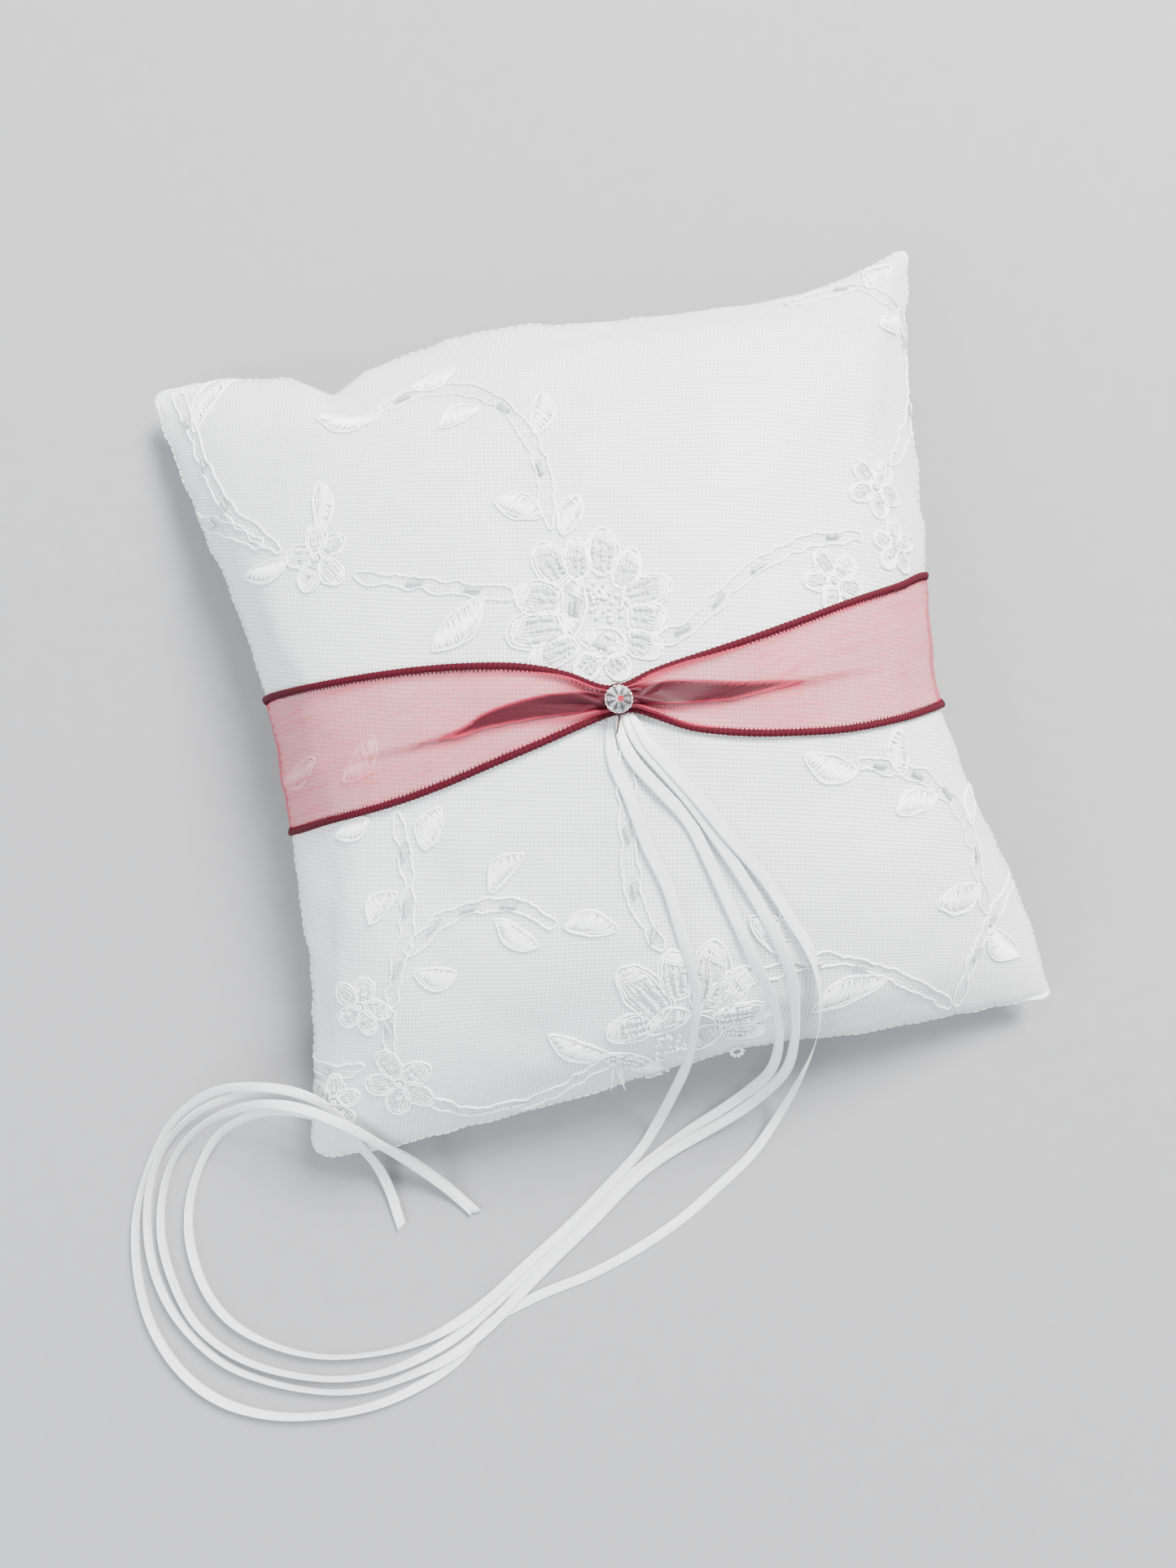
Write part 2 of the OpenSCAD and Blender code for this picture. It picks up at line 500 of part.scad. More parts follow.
tail_4 = [[4, -10, 1.4, 0, 1], [5, -14, 1.6, 0, 1], [9, -21, 2, 0, 1], [15, -31, 1.9, 0, 1],
    [21, -42, 1.5, 0, 1], [28, -54, 1.2, 0, 1], [33, -66, 1.5, 0, 1], [37, -77, 1.8, 0, 1],
    [38, -88, 2.4, 0, 1], [37, -98, 40, -5, 0], [35, -107, 30, -10, 0], [31, -119, 15, -10, 0],
    [25, -130, 5, -5, 0], [16, -140, 1.6, 0, 0], [4, -148, 0.5, 0, 0], [-8, -155, 0.5, 0, 0],
    [-22, -161, 0.5, 0, 0], [-38, -166, 0.5, 0, 0], [-54, -169, 0.5, 0, 0], [-70, -174, 0.5, 0, 0],
    [-82, -183, 0.7, 20, 0], [-94, -188, 1.1, 40, 0], [-108, -191, 1.6, 60, 0], [-123, -191, 1.8, 75, 0],
    [-139, -188, 1.8, 70, 0], [-153, -181, 1.7, 60, 0], [-163, -170, 1.6, 60, 0], [-169, -155, 1.6, 60, 0],
    [-170, -139, 1.6, 60, 0], [-167, -122, 1.6, 60, 0], [-159, -107, 3, 60, 0], [-148, -95, 7, 45, 0],
    [-133, -88, 13, 25, 0], [-117, -88, 20.4, 10, 0], [-104, -92, 24.4, 0, 0], [-96, -99, 25, 0, 0],
    [-94.5, -105, 22.9, 0, 0], [-93.5, -111, 16.8, 0, 0], [-92.5, -121, 5.8, 0, 0],
    [-91.5, -129, 2.2, 0, 0], [-90.5, -141, 0.9, 0, 0]];

module tail(route) {
    q = smooth_route([for (p = route)
        [p[0], p[1], p[4] > 0 ? top_z(p[0], p[1]) + p[2] : p[2], p[3]]], 2);
    p = [for (k = q) [k[0], k[1], k[2]]];
    swept([for (i = [0 : len(p) - 1])
        let (h = heading(p, i), s0 = unit(cross([0, 0, 1], h)), n0 = cross(h, s0),
            r = q[i][3], s = s0 * cos(r) + n0 * sin(r), n = cross(h, s),
            a = ribbon_w / 2 * s, b = ribbon_t / 2 * n)
        [p[i] + a - b, p[i] + a + b, p[i] - a + b, p[i] - a - b]]);
}

module ribbon_tail_1() color("snow") tail(tail_1);

module ribbon_tail_2() color("snow") tail(tail_2);

module ribbon_tail_3() color("snow") tail(tail_3);

module ribbon_tail_4() color("snow") tail(tail_4);

fibre_filling();
satin_front_panel();
satin_back_panel();
net_front();
net_back();
edge_seam_thread();
vine_cording();
leaf_embroidery();
flower_embroidery();
back_lace();
bugle_beads();
seed_beads();
sash();
sash_upper_cord();
sash_lower_cord();
sash_joining_stitches();
gathering_thread();
stone_cup();
crystal_stone();
ribbon_tail_1();
ribbon_tail_2();
ribbon_tail_3();
ribbon_tail_4();
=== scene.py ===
import math

import bpy
import numpy as np
from mathutils import Matrix, Vector, noise
from mathutils.bvhtree import BVHTree


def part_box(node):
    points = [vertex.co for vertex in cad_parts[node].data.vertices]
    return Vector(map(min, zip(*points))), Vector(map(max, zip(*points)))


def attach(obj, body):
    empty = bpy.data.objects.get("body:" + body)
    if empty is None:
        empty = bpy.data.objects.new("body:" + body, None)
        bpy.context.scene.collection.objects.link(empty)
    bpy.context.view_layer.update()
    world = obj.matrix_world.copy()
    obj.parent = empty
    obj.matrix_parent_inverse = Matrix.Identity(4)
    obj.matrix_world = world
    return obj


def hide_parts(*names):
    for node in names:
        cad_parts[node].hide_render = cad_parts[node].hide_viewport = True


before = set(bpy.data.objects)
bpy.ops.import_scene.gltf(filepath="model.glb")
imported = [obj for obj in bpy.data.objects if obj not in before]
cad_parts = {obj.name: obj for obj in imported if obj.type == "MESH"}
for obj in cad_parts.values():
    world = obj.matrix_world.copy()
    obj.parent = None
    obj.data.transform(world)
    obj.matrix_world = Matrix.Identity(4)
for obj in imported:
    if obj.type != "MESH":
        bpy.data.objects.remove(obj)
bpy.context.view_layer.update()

mm = .001
rng = np.random.default_rng(11)


def clearSelection():
    bpy.ops.object.select_all(action="DESELECT")
    bpy.context.view_layer.objects.active = None


def selectOnly(made):
    clearSelection()
    made.select_set(True)
    bpy.context.view_layer.objects.active = made


def addObject(name, data):
    made = bpy.data.objects.new(name, data)
    bpy.context.scene.collection.objects.link(made)
    return made


def mode(name):
    bpy.ops.object.mode_set(mode=name)


def pull(x, y, z):
    bpy.ops.mesh.extrude_region_move(TRANSFORM_OT_translate={"value": (x, y, z)})


def boxOf(node):
    return (np.array(corner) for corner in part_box(node))


def toward(t):
    return np.array([math.cos(t), math.sin(t)])


# finishes
class Flow:
    # a socket that can be used in a sum; each sum adds its Math node
    def __init__(self, finish, socket):
        self.finish, self.socket = finish, socket

    def other(self, name):
        return Flow(self.finish, self.socket.node.outputs[name])

    def do(self, operation, *rest):
        return self.finish.calc(operation, self, *rest)

    def __add__(self, b):
        return self.do("ADD", b)

    def __sub__(self, b):
        return self.do("SUBTRACT", b)

    def __rsub__(self, b):
        return self.finish.calc("SUBTRACT", b, self)

    def __mul__(self, b):
        return self.do("MULTIPLY", b)

    def __truediv__(self, b):
        return self.do("DIVIDE", b)

    __radd__, __rmul__ = __add__, __mul__


class Finish:
    def __init__(self, name, **sockets):
        self.material = bpy.data.materials.new(name)
        self.material.use_nodes = True
        self.tree = self.material.node_tree
        self.shader = next(n for n in self.tree.nodes if n.type == "BSDF_PRINCIPLED")
        self.vary(**sockets)

    def set(self, node, inputs):
        for key, v in inputs.items():
            if isinstance(v, Flow):
                self.tree.links.new(v.socket, node.inputs[key])
            else:
                node.inputs[key].default_value = v

    # any node, from its type, its settings and the values or links of its sockets
    def node(self, kind, settings=None, inputs=None, out=0):
        made = self.tree.nodes.new("ShaderNode" + kind)
        for key, v in (settings or {}).items():
            if key == "stops":
                ramp = made.color_ramp.elements
                while len(ramp) < len(v):
                    ramp.new(.5)
                for stop, (at, colour) in zip(ramp, v):
                    stop.position, stop.color = at, colour
            else:
                setattr(made, key, v)
        self.set(made, inputs or {})
        return Flow(self, made.outputs[out])

    def calc(self, operation, *values):
        return self.node("Math", dict(operation=operation), dict(enumerate(values)))

    def clothPlace(self):
        uv = self.node("UVMap", dict(uv_map="cloth"))
        parts = self.node("SeparateXYZ", None, {0: uv})
        return uv, parts, parts.other("Y")

    def noiseAt(self, place, scale, detail=2, stretch=(1, 1, 1)):
        spot = self.node("Mapping", None, {"Vector": place, "Scale": stretch})
        return self.node("TexNoise", None, {"Vector": spot, "Scale": scale, "Detail": detail})

    def mix(self, factor, a, b):
        return self.node("Mix", dict(data_type="RGBA"), {0: factor, 6: a, 7: b}, 2)

    def step(self, v, low, high):
        return self.node("MapRange", dict(interpolation_type="SMOOTHSTEP"),
                         {"Value": v, "From Min": low, "From Max": high})

    def relief(self, height, strength, distance):
        self.set(self.shader, {"Normal": self.node(
            "Bump", None, {"Strength": strength, "Distance": distance, "Height": height})})

    def vary(self, **inputs):
        self.set(self.shader, {key.replace("_", " "): v for key, v in inputs.items()})


def objectPlace(finish):
    return finish.node("TexCoord", None, None, "Object")


def satinFinish():
    f = Finish("whiteSatin", Sheen_Weight=.25, Sheen_Roughness=.4)
    uv = f.clothPlace()[0]
    streak = f.noiseAt(uv, 900, 3, (.06, 1, 1))
    cloud = f.noiseAt(uv, 30)
    f.vary(Base_Color=f.mix(cloud, (.70, .71, .725, 1), (.80, .80, .785, 1)),
           Roughness=.34 + streak * .16)
    f.relief(streak, .25, .0001)
    return f.material


def netFinish():
    # slanted knots in straight rows, laid a little off the square of the case
    pitch, turn = .00103, math.radians(11.4)
    f = Finish("whiteNet", Sheen_Weight=.3, Sheen_Roughness=.5)
    uv, u, v = f.clothPlace()
    drift = f.noiseAt(uv, 22) * .0016
    across = ((u * math.cos(turn) - v * math.sin(turn) + drift) / pitch).do("FRACT") - .5
    along = ((u * math.sin(turn) + v * math.cos(turn) + drift) / pitch).do("FRACT") - .5
    long, short = (across + along) * 1.15, (across - along) * 2.0
    far = (long * long + short * short).do("SQRT")
    thread = 1 - f.step(far, .35, .95)
    loose = f.noiseAt(uv, 60)
    f.vary(Base_Color=f.mix(thread * .75 + loose * .25, (.72, .73, .75, 1), (.88, .88, .87, 1)),
           Alpha=thread * .40 + .52 + loose * .06,
           Roughness=.5 + loose * .25)
    f.relief(thread, .55, .0002)
    return f.material


def threadFinish(name, dark, light, turns, shine=.45, sheen=.4):
    # twisted yarn: slanted strands along it, with painted shade in the grooves between them
    f = Finish(name, Sheen_Weight=sheen, Sheen_Roughness=.45)
    uv, u, v = f.clothPlace()
    ply = (u * turns + v * 2).do("FRACT")
    strandDepthAndShade = f.calc("ABSOLUTE", ply - .5) * 2
    fuzz = f.noiseAt(uv, 700, 3)
    # painted shade: the colour is darker in the grooves between strands
    f.vary(Base_Color=f.mix(strandDepthAndShade * .7 + fuzz * .3, light, dark), Roughness=shine + fuzz * .18)
    f.relief(1 - strandDepthAndShade, .5, .00012)
    return f.material


def stitchFinish():
    f = Finish("raisedEmbroidery", Sheen_Weight=.5, Sheen_Roughness=.35)
    place = objectPlace(f)
    hair = f.noiseAt(place, 2600, 2, (1, .3, 1))
    patch = f.noiseAt(place, 320)
    f.vary(Base_Color=f.mix(patch, (.86, .87, .875, 1), (.97, .97, .96, 1)),
           Roughness=.30 + hair * .22)
    f.relief(hair, .35, .00012)
    return f.material


def glassFinish(name, tint, rough, clear=.4):
    f = Finish(name, IOR=1.5, Transmission_Weight=clear, Specular_IOR_Level=.6)
    wisp = f.noiseAt(objectPlace(f), 900)
    f.vary(Base_Color=f.mix(wisp, tint, (.97, .98, .98, 1)), Roughness=rough + wisp * .05)
    f.relief(wisp, .15, .00005)
    return f.material


def metalFinish(name, colour, rough):
    f = Finish(name, Metallic=1)
    wear = f.noiseAt(objectPlace(f), 1500, 3)
    worn = tuple(c * .82 for c in colour[:3]) + (1,)
    f.vary(Base_Color=f.mix(wear, worn, colour),
           Roughness=rough + wear * .12)
    f.relief(wear, .12, .00003)
    return f.material


def organzaFinish():
    # a sheer weave: fine threads both ways, closer together in some bands than in others
    f = Finish("wineOrganza", Specular_IOR_Level=.2)
    uv, u, v = f.clothPlace()
    folded = f.node("Attribute", dict(attribute_name="folded"), None, "Fac")
    wander = f.noiseAt(uv, 35) * .0012
    weft = f.noiseAt(uv, 1500, 2, (.03, 1, 1))
    warp = f.noiseAt(uv, 1500, 2, (1, .03, 1))
    weftPitch, warpPitch = .00036, .00042
    thinWeft = f.calc("ABSOLUTE", ((v + wander) / weftPitch).do("FRACT") - .5) * 2
    thinWarp = f.calc("ABSOLUTE", ((u + wander) / warpPitch).do("FRACT") - .5) * 2
    weave = f.step(weft, .52, .66) * .5 + f.step(warp, .54, .7) * .35
    mesh = thinWeft.do("MAXIMUM", thinWarp)
    haze = f.noiseAt(uv, 48, 3)
    sheer = .36 + weave * .27 + f.step(mesh, .55, .95) * .18 + haze * .12
    f.vary(Alpha=f.calc("MINIMUM", sheer + folded * .50, .98),
           Base_Color=f.mix(folded, f.mix(haze, (.40, .024, .056, 1), (.52, .044, .084, 1)),
                            f.mix(weft, (.024, .0008, .004, 1), (.064, .003, .010, 1))),
           Roughness=.45 + weft * .25)
    f.relief(weft + warp, .35, .0001)
    return f.material


def cordFinish():
    f = Finish("wineEdge", Specular_IOR_Level=.12)
    uv = f.clothPlace()[0]
    strandDepthAndShade = f.node("Attribute", dict(attribute_name="raised"), None, "Fac")
    fuzz = f.noiseAt(uv, 1400, 3)
    # painted shade: the colour is darker in the valleys between the raised stitches and lighter on their
    # ridges
    f.vary(Base_Color=f.mix(strandDepthAndShade * .75 + fuzz * .25, (.016, .0008, .003, 1), (.090, .002, .011, 1)),
           Roughness=.5 + fuzz * .3)
    f.relief(fuzz, .5, .00015)
    return f.material


def ribbonFinish():
    # satin face with a woven edge on either side; its colour carries painted sheen in lengthwise bands and
    # painted shade along the edges
    f = Finish("ribbonSatin", Sheen_Weight=.2, Sheen_Roughness=.4)
    uv, u, v = f.clothPlace()
    edge = f.step(f.calc("ABSOLUTE", v), .74, .84)
    cord = f.calc("ABSOLUTE", (u / .0006).do("FRACT") - .5) * 2
    warp = f.noiseAt(uv, 9, 3, (6, 1, 1))
    paintedSheenBand = f.noiseAt(uv, 70, 1, (1, .02, 1))
    # shine is painted sheen: lighter lengthwise satin bands, with painted shade darkening the woven edges and
    # their ribs
    shine = (warp * .45 + paintedSheenBand * .55) * (1 - edge * (.3 + cord * .5))
    f.vary(Base_Color=f.mix(shine, (.58, .59, .61, 1), (.95, .95, .94, 1)),
           Alpha=.80 + edge * .12 + warp * .08,
           Roughness=.24 + warp * .14 + edge * .25)
    f.relief(edge * cord * .8 + warp * .5, .5, .0001)
    return f.material


def fluffFinish():
    f = Finish("fibreFill", Sheen_Weight=.3)
    wool = f.noiseAt(objectPlace(f), 180, 5)
    f.vary(Base_Color=f.mix(wool, (.78, .78, .77, 1), (.92, .92, .91, 1)), Roughness=.85 + wool * .1)
    f.relief(wool, .8, .001)
    return f.material


# mesh helpers
class Bag:
    # gathers the points and faces of one piece, with its place along and across the cloth
    def __init__(self):
        self.points, self.faces, self.marks, self.shade, self.slots = [], [], [], [], []

    def add(self, points, faces, marks=None, shade=None, slot=0):
        k = len(self.points)
        self.points.extend(map(tuple, points))
        self.faces.extend(tuple(i + k for i in face) for face in faces)
        self.marks.extend(map(tuple, marks) if marks is not None else [(0, 0)] * len(points))
        self.shade.extend(shade if shade is not None else [0] * len(points))
        self.slots.extend([slot] * len(faces))

    def piece(self, name, materials, stands, shadeName=None):
        mesh = bpy.data.meshes.new(name)
        mesh.from_pydata(self.points, [], self.faces)
        layer = mesh.uv_layers.new(name="cloth")
        corner = np.zeros(len(mesh.loops), int)
        mesh.loops.foreach_get("vertex_index", corner)
        layer.data.foreach_set("uv", np.array(self.marks, float)[corner].ravel())
        if shadeName:
            mesh.attributes.new(shadeName, "FLOAT", "POINT").data.foreach_set(
                "value", np.array(self.shade, float))
        for m in materials if isinstance(materials, list) else [materials]:
            mesh.materials.append(m)
        mesh.polygons.foreach_set("material_index", self.slots)
        mesh.polygons.foreach_set("use_smooth", [True] * len(mesh.polygons))
        mesh.update()
        return settle(addObject(name, mesh), stands)


def settle(made, stands):
    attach(made, "root")
    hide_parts(stands)
    return made


def unit(v):
    return v / np.maximum(np.linalg.norm(v, axis=-1, keepdims=True), 1e-12)


def headings(line, closed=False):
    if closed:
        return unit(np.roll(line, -1, 0) - np.roll(line, 1, 0))
    return unit(np.gradient(line, axis=0))


def along(line):
    return np.concatenate([[0], np.cumsum(np.linalg.norm(np.diff(line, axis=0), axis=1))])


# a smooth curve through the given rows, with so many steps to each
def smoothLine(rows, steps):
    p = np.array(rows, float)
    p = np.vstack([2 * p[0] - p[1], p, 2 * p[-1] - p[-2]])
    out = []
    for i in range(1, len(p) - 2):
        a, b, c, d = p[i - 1:i + 3]
        for t in np.arange(steps) / steps:
            out.append(.5 * (2 * b + (c - a) * t + (2 * a - 5 * b + 4 * c - d) * t * t
                             + (3 * b - a - 3 * c + d) * t ** 3))
    out.append(p[-2])
    return np.array(out)


def evenly(line, step, closed=False):
    if closed:
        line = np.vstack([line, line[:1]])
    far = along(line[:, :3])
    n = max(3, int(round(far[-1] / step)))
    at = np.linspace(0, far[-1], n + 1)[:n if closed else None]
    return np.stack([np.interp(at, far, line[:, k]) for k in range(line.shape[1])], 1)


# a round or flattened tube along a line; out is the direction that its top faces
def tube(bag, line, out, radius, sides=6, flat=1, closed=False, wave=None):
    n = len(line)
    t = headings(line, closed)
    side = unit(np.cross(t, out))
    up = np.cross(side, t)
    turn = np.arange(sides) / sides * 2 * math.pi
    r = np.broadcast_to(np.asarray(radius, float).reshape(-1, 1), (n, 1)) * np.ones((1, sides))
    far = along(line)
    raised = np.ones((n, sides)) * .5
    if wave is not None:
        raised = wave(far[:, None], turn[None, :])
        r = r * (.88 + .24 * raised)
    points = (line[:, None] + (r * np.cos(turn))[..., None] * side[:, None]
              + (r * flat * np.sin(turn))[..., None] * up[:, None]).reshape(-1, 3)
    marks = np.stack([np.repeat(far, sides), np.tile(turn / (2 * math.pi), n)], 1)
    last = n if closed else n - 1
    faces = [(i * sides + j, (i + 1) % n * sides + j, (i + 1) % n * sides + (j + 1) % sides,
              i * sides + (j + 1) % sides) for i in range(last) for j in range(sides)]
    if not closed:
        faces.append(tuple(range(sides)))
        faces.append(tuple((n - 1) * sides + j for j in reversed(range(sides))))
    bag.add(points, faces, marks, raised.ravel())


# copies of one small mesh, each at its own place and turn
def scatter(bag, shape, places, slot=0):
    corners = np.array([v.co for v in shape.vertices])
    faces = [tuple(p.vertices) for p in shape.polygons]
    for place in places:
        m = np.array(place)
        spots = corners @ m[:3, :3].T + m[:3, 3]
        bag.add(spots, faces, corners[:, :2] * 300, None, slot)


def frameAt(centre, ahead, up, size):
    x = Vector(ahead).normalized()
    y = Vector(up).cross(x).normalized()
    z = x.cross(y)
    m = Matrix((x, y, z)).transposed().to_4x4()
    return Matrix.Translation(Vector(centre)) @ m @ Matrix.Diagonal((*size, 1))


# takes the mesh out of a finished primitive, so that it can be copied
def pattern(make):
    clearSelection()
    make()
    made = bpy.context.object
    mesh = made.data
    mesh.transform(made.matrix_world)
    bpy.data.objects.remove(made)
    return mesh


# camera, light and table
view = dict(place=(-.01006, -.02256, .351), turn=-11.4, sensor=36, lens=36 * 1445 / 1927)


def makeStage():
    data = bpy.data.cameras.new("above")
    data.sensor_width, data.lens, data.clip_start = view["sensor"], view["lens"], .01
    camera = addObject("above", data)
    camera.location = view["place"]
    camera.rotation_euler = (0, 0, math.radians(view["turn"]))
    bpy.context.scene.camera = camera

    clearSelection()
    bpy.ops.mesh.primitive_plane_add(size=6, location=(0, 0, 0))
    table = bpy.context.object
    table.name = "tableTop"
    f = Finish("paleCard")
    grain = f.noiseAt(objectPlace(f), 160, 3)
    f.vary(Base_Color=f.mix(grain, (.25, .25, .26, 1), (.28, .28, .29, 1)), Roughness=.85 + grain * .1)
    table.data.materials.append(f.material)

    world = bpy.data.worlds.new("studio")
    world.use_nodes = True
    sky = world.node_tree.nodes["Background"].inputs
    sky["Color"].default_value, sky["Strength"].default_value = light["roomTint"], light["room"]
    bpy.context.scene.world = world
    for name, place, size, power, colour in light["panels"]:
        lamp = bpy.data.lights.new(name, "AREA")
        lamp.shape, lamp.size, lamp.energy, lamp.color = "SQUARE", size, power, colour
        made = addObject(name, lamp)
        made.location = place
        made.rotation_mode = "QUATERNION"
        made.rotation_quaternion = (Vector(place) - Vector(light["aim"])).to_track_quat("Z", "Y")


light = dict(room=1.35, roomTint=(.93, .96, 1, 1), aim=(0, 0, .03), panels=[
    ("softBox", (.75, .85, 1.15), .6, 122, (1, .985, .96)),
    ("fillCard", (-1.1, -.5, .9), 1.1, 24, (.93, .96, 1)),
])
makeStage()
print("stage and camera made")


# the cushion's form: the sewn square, drawn in between its corners
cushion = dict(half=.111, seam=.026, corner=.009, rise=.042, drop=.0338, waistX=.17, waistY=.085,
               cells=44, finer=4, fade=.42, swell=4.0, cap=.0035, frames=20, groove=.00215, grooveY=.023,
               lump=.0015, pucker=.0008, belt=.0012, notchX=-.0572, notch=.0034, blunt=.0045,
               held=.016, crown=.0679, beltWide=.021, notchWide=.0042, notchDeep=.011, cornerFrom=.09,
               puckerReach=.007)
# how close together the lumps, the smaller lumps and the puckers stand
grainOf = dict(lump=24, small=62, pucker=150)
# how far each side stands out or in, along its length from -1 to 1
sides = dict(
    top=[(-1, 3.2), (-.83, 3.8), (-.64, .6), (-.52, -6.4), (-.42, -.8), (-.25, 2.9), (-.1, 3.7), (.13, 0),
         (.42, -2.5), (.65, -5.4), (.85, -2.8), (1, 1.6)],
    right=[(-1, -.5), (-.68, 2.5), (-.49, 0), (-.19, -3.3), (.18, .7), (.37, 1), (.69, 1.2), (1, 1.4)],
    bottom=[(-1, 2.6), (-.59, 6.1), (-.25, 4.5), (.13, .7), (.47, 1.4), (1, -.5)],
    left=[(-1, -1.3), (-.54, -.5), (-.19, 1.9), (.17, 0), (.65, 3.1), (1, 1.3)])
# soft folds that run out from under the stone: heading in degrees, reach, height and width in mm
folds = [(-92, 62, 1.4, 3.4), (-104, 74, 2.1, 4.5), (-79, 66, 1.5, 3.6), (-66, 56, 1.3, 3.6),
         (-119, 56, 1.3, 4.2), (88, 30, .8, 3.4), (64, 38, .9, 4), (118, 38, 1, 4), (-142, 66, 1.2, 5),
         (-40, 58, 1.1, 5)]
# broad soft dents: place, breadth both ways and depth in mm
dents = [(50, -38, 20, 11, 1.5), (-56, -42, 11, 20, 1.1), (-78, 66, 14, 20, .9), (70, 42, 16, 14, 1.0),
         (-24, 50, 18, 14, .8), (16, -56, 11, 18, .9), (-30, -84, 22, 9, .8)]
stoneSpot = np.array([.001, -.0044])


def evenAngles(n):
    a = np.radians(np.linspace(-90, 90, 721))
    x = cushion["half"] * (1 - cushion["waistX"]) * np.sin(a)
    z = cushion["rise"] * np.cos(a)
    far = along(np.stack([x, z], 1))
    return np.interp(np.linspace(0, far[-1], n + 1), far, a)


def baseZ(y):
    t = np.clip((np.abs(y) - cushion["grooveY"]) / .010, 0, 1)
    return cushion["groove"] * (1 - t * t * (3 - 2 * t))


def sideBulge(name, at):
    table = np.array(sides[name])
    curve = smoothLine(table, 12)
    return np.interp(at, curve[:, 0], curve[:, 1]) * mm


def skin(a, b, under, bulges=True):
    c = cushion
    sa, sb, ca, cb = np.sin(a), np.sin(b), np.cos(a), np.cos(b)
    x = c["half"] * sa * (1 - c["waistX"] * cb ** 2)
    y = c["half"] * sb * (1 - c["waistY"] * ca ** 2)
    rim = c["seam"] - (c["seam"] - c["corner"]) * (sa * sb) ** 2
    if bulges:
        # each side's own line fades out over the crown
        nearX, nearY = (np.exp(-np.abs(np.abs(s) - math.pi / 2) / c["fade"]) for s in (a, b))
        y = y + np.where(b > 0, sideBulge("top", sa), -sideBulge("bottom", sa)) * nearY
        x = x + np.where(a > 0, sideBulge("right", sb), -sideBulge("left", sb)) * nearX
    if under:
        z = np.maximum(baseZ(y), rim - c["drop"] * ca * cb)
    else:
        z = rim + c["rise"] * ca * cb
    return np.stack([x, y, z], -1)


# one closed shell from two square grids that share their rim
def weld(n):
    front = np.arange((n + 1) ** 2).reshape(n + 1, n + 1)
    back = front.copy()
    back[1:-1, 1:-1] = (n + 1) ** 2 + np.arange((n - 1) ** 2).reshape(n - 1, n - 1)
    return front, back


def gridFaces(grid, flip=False):
    a, b, c, d = grid[:-1, :-1], grid[1:, :-1], grid[1:, 1:], grid[:-1, 1:]
    quads = np.stack([a, d, c, b] if flip else [a, b, c, d], -1)
    return quads.reshape(-1, 4)


def shell(n, top, bottom):
    front, back = weld(n)
    points = np.zeros((back.max() + 1, 3))
    points[back.ravel()] = bottom.reshape(-1, 3)
    points[front.ravel()] = top.reshape(-1, 3)
    return points, np.vstack([gridFaces(front), gridFaces(back, True)]), front, back


def inflate(points, faces):
    mesh = bpy.data.meshes.new("caseBlank")
    mesh.from_pydata(points.tolist(), [], faces.tolist())
    blank = addObject("caseBlank", mesh)
    selectOnly(blank)
    cloth = blank.modifiers.new("swell", "CLOTH")
    s = cloth.settings
    s.quality, s.mass = 5, .15
    s.tension_stiffness = s.compression_stiffness = 25
    s.shear_stiffness, s.bending_stiffness = 12, 1.5
    s.use_pressure, s.uniform_pressure_force = True, cushion["swell"]
    s.effector_weights.gravity = 0
    cloth.point_cache.frame_start, cloth.point_cache.frame_end = 1, cushion["frames"]
    for n in range(1, cushion["frames"] + 1):
        bpy.context.scene.frame_set(n)
    bpy.ops.object.modifier_apply(modifier="swell")
    bpy.context.scene.frame_set(1)
    swollen = np.array([v.co for v in blank.data.vertices])
    bpy.data.objects.remove(blank)
    moved = swollen - points
    far = np.linalg.norm(moved, axis=1, keepdims=True)
    return points + moved * np.minimum(1, cushion["cap"] / np.maximum(far, 1e-9))


# how far in from the seam each point lies, measured on the flat cloth
def fromSeam(front):
    n = front.shape[0]
    inward = np.minimum(np.arange(n), np.arange(n)[::-1]) * 2 * cushion["half"] / (n - 1)
    reach = np.minimum.outer(inward, inward)
    return np.concatenate([reach.ravel(), reach[1:-1, 1:-1].ravel()])


def refine(grid, k):
    rows = np.stack([smoothLine(grid[:, j], k) for j in range(grid.shape[1])], 1)
    return np.stack([smoothLine(rows[i], k) for i in range(rows.shape[0])], 0)


def outwards(points, faces):
    a, b, c, d = (points[faces[:, k]] for k in range(4))
    n = np.cross(c - a, d - b)
    total = np.zeros_like(points)
    for k in range(4):
        np.add.at(total, faces[:, k], n)
    return unit(total)


def shapeCushion():
    n = cushion["cells"]
    angles = evenAngles(n)
    a, b = np.meshgrid(angles, angles, indexing="ij")
    points, faces, front, back = shell(n, skin(a, b, False), skin(a, b, True))
    # the seam keeps its line, and the form starts a little small because it swells
    hold = (1 - np.exp(-fromSeam(front) / cushion["held"]))[:, None]
    start = points - outwards(points, faces) * cushion["cap"] * .6 * hold
    points = points + (inflate(start, faces) - points) * hold
    k = cushion["finer"]
    return shell(n * k, refine(points[front], k), refine(points[back], k))


